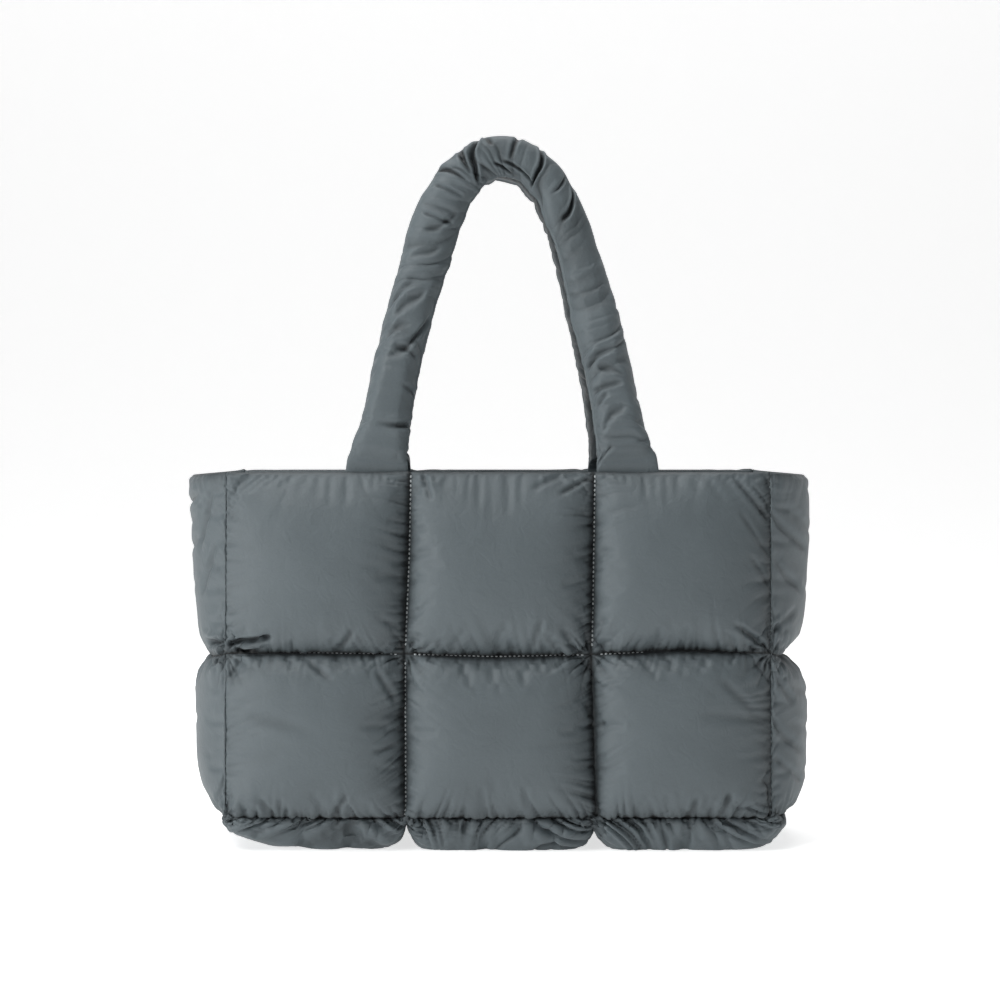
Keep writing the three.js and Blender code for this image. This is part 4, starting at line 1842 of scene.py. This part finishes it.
@dataclass
class NodeDesk:
    """Adds nodes to a tree and links them."""

    tree: bpy.types.NodeTree

    def add(self, kind: str, values: dict | None = None, **settings: object) -> bpy.types.Node:
        """Adds a node.

        Args:
            kind: Type of the node without its ShaderNode prefix.
            values: Values or sockets for its inputs by name or number.
            **settings: Attributes of the node.

        Returns:
            The node.
        """
        node = self.tree.nodes.new(f"ShaderNode{kind}")
        for label, value in settings.items():
            setattr(node, label, value)
        for label, value in (values or {}).items():
            if isinstance(value, bpy.types.NodeSocket):
                self.tree.links.new(value, node.inputs[label])
            else:
                node.inputs[label].default_value = value
        return node

    def math(self, operation: str, *values: object) -> bpy.types.NodeSocket:
        """Adds a Math node and gives its result."""
        node = self.add("Math", dict(enumerate(values)), operation=operation)
        return node.outputs[0]

    def noise(self, vector: bpy.types.NodeSocket, scale: object, detail: float, roughness: float = 0.5,
              distortion: float = 0.0) -> bpy.types.NodeSocket:
        """Adds a Noise Texture and gives its value."""
        return self.add("TexNoise", {"Vector": vector, "Scale": scale, "Detail": detail,
                                     "Roughness": roughness, "Distortion": distortion}).outputs[0]

    def put_out(self, **sockets: bpy.types.NodeSocket) -> None:
        """Links sockets to the group's outputs, whose names have spaces for underscores."""
        for label, socket in sockets.items():
            self.tree.links.new(socket, self.tree.nodes["out"].inputs[label.replace("_", " ")])


class SharedEffects:
    """Shader node groups that several materials use."""

    def __init__(self) -> None:
        """Builds each group once."""
        self.weave = self._weave()
        self.crinkle = self._crinkle()
        self.tone = self._tone()

    @staticmethod
    def _weave() -> bpy.types.NodeTree:
        """Plain weave: threads over and under, as the product of two sines on the flat cloth.

        Returns:
            The group, which puts out a height.
        """
        inputs = {"Cloth": "Vector", "Threads": "Float", "Unevenness": "Float"}
        tree = node_group("plain weave", inputs, {"Height": "Float"})
        desk, source = NodeDesk(tree), tree.nodes["in"].outputs
        parts = desk.add("SeparateXYZ", {"Vector": source["Cloth"]}).outputs
        turn = desk.math("MULTIPLY", source["Threads"], math.pi)
        warp = desk.math("SINE", desk.math("MULTIPLY", parts["X"], turn))
        weft = desk.math("SINE", desk.math("MULTIPLY", parts["Y"], turn))
        over = desk.math("MULTIPLY", warp, weft)
        slub = desk.noise(source["Cloth"], 900.0, 1.0)
        rough = desk.math("MULTIPLY", slub, source["Unevenness"])
        desk.put_out(Height=desk.math("ADD", over, rough))
        return tree

    @staticmethod
    def _crinkle() -> bpy.types.NodeTree:
        """Fine creases of thin cloth: folded noise at two sizes, stronger beside seams.

        Returns:
            The group, which puts out a height.
        """
        inputs = {"Place": "Vector", "Scale": "Float", "Seams": "Float", "Near Seam": "Float"}
        tree = node_group("fine creases", inputs, {"Height": "Float"})
        desk, source = NodeDesk(tree), tree.nodes["in"].outputs
        broad = desk.noise(source["Place"], source["Scale"], 2.0, 0.5, 0.6)
        folded = desk.math("ABSOLUTE", desk.math("SUBTRACT", broad, 0.5))
        small = desk.noise(source["Place"], desk.math("MULTIPLY", source["Scale"], 3.1), 2.0, 0.5, 0.3)
        beside = desk.math("MULTIPLY_ADD", source["Near Seam"], source["Seams"], 0.25)
        fine = desk.math("MULTIPLY", desk.math("ABSOLUTE", desk.math("SUBTRACT", small, 0.5)), beside)
        desk.put_out(Height=desk.math("ADD", folded, fine))
        return tree

    @staticmethod
    def _tone() -> bpy.types.NodeTree:
        """Cloudy change of tone and gloss over the cloth, with painted shade at the seams and in
        wrinkles.

        Returns:
            The group, which puts out a colour and a roughness.
        """
        inputs = {"Place": "Vector", "Light": "Color", "Dark": "Color", "Near Seam": "Float",
                  "Seam Shade": "Float", "Gloss": "Float"}
        tree = node_group("cloth tone", inputs, {"Color": "Color", "Roughness": "Float"})
        desk, source = NodeDesk(tree), tree.nodes["in"].outputs
        cloud = desk.noise(source["Place"], 14.0, 3.0)
        speck = desk.noise(source["Place"], 700.0, 1.0)
        mixed = desk.math("MULTIPLY_ADD", speck, 0.5, desk.math("MULTIPLY", cloud, 0.7))
        base = desk.add("MixRGB", {"Fac": mixed, "Color1": source["Dark"], "Color2": source["Light"]})
        # Painted shade: the colour is mixed towards black by the mask times its strength.
        shade = desk.math("MULTIPLY", source["Near Seam"], source["Seam Shade"])
        darker = desk.add("MixRGB", {"Fac": shade, "Color1": base.outputs[0], "Color2": (0, 0, 0, 1)})
        worn = desk.math("MULTIPLY_ADD", cloud, 0.16, source["Gloss"])
        desk.put_out(Color=darker.outputs[0], Roughness=desk.math("MULTIPLY_ADD", speck, 0.06, worn))
        return tree


@dataclass(frozen=True)
class ClothFinish:
    """Finish of a woven nylon cloth.

    Attributes:
        name: Name of its material.
        light: Linear colour of its lighter parts.
        dark: Linear colour of its darker parts.
        gloss: Roughness where it is shiniest.
        sheen: Strength of its soft sheen.
        crease_scale: Number of fine creases in a metre.
        crease_depth: Height of the fine creases.
        painted_shade_strength: How far the painted shade of the crease attribute darkens it, from 0 to 1.
        threads: Threads in a metre.
    """

    name: str
    light: tuple[float, float, float]
    dark: tuple[float, float, float]
    gloss: float
    sheen: float
    crease_scale: float
    crease_depth: float
    painted_shade_strength: float
    threads: float = 2600.0

    def material(self, effects: SharedEffects) -> bpy.types.Material:
        """Builds the material.

        Args:
            effects: The shared node groups.

        Returns:
            A Principled BSDF with cloudy tone, painted shade from the crease attribute, weave and fine
            creases.
        """
        made = bpy.data.materials.new(self.name)
        made.use_nodes = True
        desk = NodeDesk(made.node_tree)
        shader = made.node_tree.nodes["Principled BSDF"]
        place = desk.add("TexCoord").outputs["Object"]
        cloth = desk.add("UVMap", uv_map="cloth").outputs["UV"]
        # The crease attribute holds the painted shade mask; the tone group darkens the colour by it.
        near = desk.add("Attribute", attribute_name="crease").outputs["Fac"]
        tone = desk.add("Group", {
            "Place": place, "Light": (*self.light, 1), "Dark": (*self.dark, 1), "Near Seam": near,
            "Seam Shade": self.painted_shade_strength, "Gloss": self.gloss}, node_tree=effects.tone)
        crease = desk.add("Group", {
            "Place": place, "Scale": self.crease_scale, "Seams": 1.2, "Near Seam": near},
            node_tree=effects.crinkle)
        weave = desk.add("Group", {
            "Cloth": cloth, "Threads": self.threads, "Unevenness": 0.8}, node_tree=effects.weave)
        creased = desk.add("Bump", {"Height": crease.outputs["Height"], "Distance": self.crease_depth,
                                    "Strength": 1.0})
        woven = desk.add("Bump", {"Height": weave.outputs["Height"], "Distance": 0.00003,
                                  "Strength": 0.35, "Normal": creased.outputs["Normal"]})
        links = made.node_tree.links
        links.new(tone.outputs["Color"], shader.inputs["Base Color"])
        links.new(tone.outputs["Roughness"], shader.inputs["Roughness"])
        links.new(woven.outputs["Normal"], shader.inputs["Normal"])
        shader.inputs["Sheen Weight"].default_value = self.sheen
        shader.inputs["Sheen Roughness"].default_value = 0.4
        shader.inputs["Specular IOR Level"].default_value = 0.45
        return made


# Shell and handle cloth, darkened by the painted shade of the crease attribute.
SHELL = ClothFinish(
    name="shell nylon", light=(0.146, 0.177, 0.191), dark=(0.116, 0.141, 0.153), gloss=0.42,
    sheen=0.12, crease_scale=95.0, crease_depth=0.0006, painted_shade_strength=0.93)
STRAP = replace(SHELL, name="handle nylon", crease_scale=120.0, painted_shade_strength=0.8)
# Light grey thread, lightened past its own tone as a painted highlight that keeps the stitches bright in
# the seams' shade.
THREAD = ClothFinish(
    name="sewing thread", light=(0.60, 0.64, 0.65), dark=(0.46, 0.50, 0.51), gloss=0.5, sheen=0.1,
    crease_scale=900.0, crease_depth=0.0001, painted_shade_strength=0.0, threads=5200.0)


@dataclass(frozen=True)
class Softbox:
    """A square area light that faces the middle of the bag.

    Attributes:
        at: Its place.
        size: Its width.
        power: Its power in watts.
    """

    name: str
    at: tuple[float, float, float]
    size: float
    power: float

    def hang(self, middle: tuple[float, float, float]) -> None:
        """Adds the light to the scene.

        Args:
            middle: The point that it faces.
        """
        light = bpy.data.lights.new(self.name, "AREA")
        light.size = self.size
        light.energy = self.power
        holder = bpy.data.objects.new(self.name, light)
        holder.location = self.at
        holder.rotation_euler = (Vector(middle) - Vector(self.at)).to_track_quat("-Z", "Y").to_euler()
        bpy.context.scene.collection.objects.link(holder)


@dataclass(frozen=True)
class Studio:
    """Camera, pale sweep and soft lights.

    Attributes:
        camera_at: Place of the camera, which looks along Y.
        lens: Its focal length in millimetres.
        shift_up: Its shift, as a share of the frame.
        middle: The point that the lights face.
        seen_glow: Glow of the sweep that only the camera sees, on top of the other.
        glow: Glow of the sweep that lights the bag.
        air: Strength of the light from all round.
        softboxes: The lights.
    """

    camera_at: tuple[float, float, float] = (0.001, -1.665, 0.284)
    lens: float = 85.0
    shift_up: float = -0.0675
    middle: tuple[float, float, float] = (0.0, 0.0, 0.16)
    seen_glow: float = 0.36
    glow: float = 0.32
    air: float = 0.03
    softboxes: tuple[Softbox, ...] = (
        Softbox("side", (-2.15, -1.08, 0.26), 1.1, 21.0),
        Softbox("upper left", (-1.09, -1.09, 2.0), 1.1, 24.0),
        Softbox("above", (0.0, 0.3, 2.4), 1.8, 27.0),
        Softbox("far side", (2.2, 0.3, 0.5), 1.1, 5.0),
    )

    def camera(self) -> None:
        """Sets the camera level in front of the bag."""
        camera = bpy.data.cameras.new("camera")
        camera.lens = self.lens
        camera.sensor_width = 36.0
        camera.shift_y = self.shift_up
        camera.dof.use_dof = False
        holder = bpy.data.objects.new("camera", camera)
        holder.location = self.camera_at
        holder.rotation_euler = (math.pi / 2, 0, 0)
        bpy.context.scene.collection.objects.link(holder)
        bpy.context.scene.camera = holder

    def sweep(self) -> None:
        """Makes the floor, which rises behind the bag in a quarter circle to a wall."""
        bend = np.linspace(0, np.pi / 2, 24)
        radius, back, front, top = 1.6, 2.6, -4.5, 5.0
        y = np.concatenate([[front], back + radius * np.sin(bend), [back + radius]])
        z = np.concatenate([[0], radius * (1 - np.cos(bend)), [top]])
        x = np.array([-5.0, 5.0])
        points = np.stack(np.broadcast_arrays(x[None, :], y[:, None], z[:, None]), axis=-1)
        floor = mesh_object("studio_sweep", points.reshape(-1, 3), grid_faces(points.shape))
        paint = bpy.data.materials.new("pale sweep")
        paint.use_nodes = True
        shader = paint.node_tree.nodes["Principled BSDF"]
        shader.inputs["Base Color"].default_value = (0.92, 0.92, 0.92, 1)
        shader.inputs["Roughness"].default_value = 0.6
        shader.inputs["Emission Color"].default_value = (1, 1, 1, 1)
        desk = NodeDesk(paint.node_tree)
        seen = desk.add("LightPath").outputs["Is Camera Ray"]
        glow = desk.math("MULTIPLY_ADD", seen, self.seen_glow, self.glow)
        paint.node_tree.links.new(glow, shader.inputs["Emission Strength"])
        floor.data.materials.append(paint)

    def lights(self) -> None:
        """Hangs the soft lights and sets the light from all round."""
        for softbox in self.softboxes:
            softbox.hang(self.middle)
        world = bpy.data.worlds.new("studio air")
        world.use_nodes = True
        background = world.node_tree.nodes["Background"]
        background.inputs["Color"].default_value = (1, 1, 1, 1)
        desk = NodeDesk(world.node_tree)
        seen = desk.add("LightPath").outputs["Is Camera Ray"]
        strength = desk.math("MULTIPLY_ADD", seen, 1 - self.air, self.air)
        world.node_tree.links.new(strength, background.inputs["Strength"])
        bpy.context.scene.world = world
        bpy.context.scene.view_settings.view_transform = "Standard"


def between_crossings(line: Array, seams: Sequence[int], clear: int = 7) -> list[Array]:
    """Parts of a seam between the seams that cross it, whose knots hide the stitches.

    Args:
        line: Points along the seam.
        seams: Indexes of the points where other seams meet it, its two ends among them.
        clear: Points left out on both sides of a crossing.

    Returns:
        One run of points for each part.
    """
    parts = []
    for first, last in zip(seams, seams[1:]):
        first += clear * (first != seams[0])
        last -= clear * (last != seams[-1])
        parts.append(line[first:last + 1])
    return parts


class ToteBag:
    """Builds the bag's pieces, dresses them and reports them."""

    def __init__(self) -> None:
        """Mixes the finishes."""
        effects = SharedEffects()
        self.shell = SHELL.material(effects)
        self.strap = STRAP.material(effects)
        self.thread = THREAD.material(effects)
        self.stitching = Stitching()
        self.corner_stitching = Stitching(pitch=0.0042, length=0.0026, radius=0.00050)

    def pads(self) -> list[SewnPad]:
        """Builds the five padded walls.

        Returns:
            The finished pads.
        """
        walls: list[QuiltedPad] = [
            FacePanel("front_cover", "front_panel", Facing.AS_MADE, 100, FRONT_FOLDS),
            FacePanel("back_cover", "back_panel", Facing.TURNED, 900, BACK_FOLDS),
            Gusset("right_cover", "right_gusset", Facing.AS_MADE, 300, RIGHT_FOLDS,
                   puffs=(0.0100, 0.0064), row_pull=0.0140, corner=16.0),
            Gusset("left_cover", "left_gusset", Facing.TURNED, 500, LEFT_FOLDS,
                   puffs=(0.0060, 0.0034), row_pull=0.0070, corner=10.0),
            BaseTray("base_cover", "base", 700),
        ]
        made = []
        for wall in walls:
            pad = wall.build()
            self.dress(pad.piece, self.shell)
            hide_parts(pad.node)
            made.append(pad)
        return made

    def handles(self) -> None:
        """Builds the two padded handles."""
        for handle in (
            PaddedHandle("front_handle_cover", "front_handle", Facing.AS_MADE, 1100,
                         FRONT_HANDLE_FOLDS, shift=0.0025, slim=0.0, lopsided=0.12),
            PaddedHandle("back_handle_cover", "back_handle", Facing.TURNED, 1300,
                         BACK_HANDLE_FOLDS, shift=0.0005, slim=0.0035, lopsided=-0.12),
        ):
            piece, ends = handle.build()
            self.dress(piece, self.strap)
            sewn = self.stitching.build(f"{handle.node}_stitches", ends)
            self.dress(sewn, self.thread)
            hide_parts(handle.node)

    def stitches(self, pads: Sequence[SewnPad]) -> None:
        """Sews the quilting seams and the corner seams.

        Args:
            pads: The finished walls, panels first.
        """
        for pad in pads[:2]:
            across, up = pad.across.seams, pad.up.seams
            at_front = pad.node == "front_panel"
            out = np.array([0.0, -1.0 if at_front else 1.0, 0.0])
            quilted = between_crossings(pad.outer[up[1]], across)
            for column in across[1:-1]:
                quilted += between_crossings(pad.outer[:, column], up)
            if at_front:
                quilted = [line[int(first * len(line)):int(last * len(line))]
                           for line, (first, last) in zip(quilted, FRONT_THREAD) if last > first]
            corners = [pad.outer[:, 1], pad.outer[:, -2]]
            for kind, lines, way, thread in (
                ("quilting", quilted, self.stitching, self.thread),
                ("corner", corners, self.corner_stitching, self.shell),
            ):
                rows = [(line, np.broadcast_to(out, line.shape)) for line in lines]
                piece = way.build(f"{pad.node}_{kind}_stitches", rows)
                self.dress(piece, thread)

    def dress(self, piece: bpy.types.Object, finish: bpy.types.Material) -> None:
        """Gives a piece its material and body, and reports it.

        Args:
            piece: The piece.
            finish: Its material.
        """
        piece.data.materials.append(finish)
        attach(piece, BODY)
        log.info("%s: %d faces", piece.name, len(piece.data.polygons))


def main() -> None:
    """Builds the scene in order."""
    logging.basicConfig(level=logging.INFO, format="%(name)s: %(message)s")
    studio = Studio()
    studio.camera()
    studio.sweep()
    studio.lights()
    bag = ToteBag()
    pads = bag.pads()
    bag.handles()
    bag.stitches(pads)


if __name__ == "__main__":
    main()
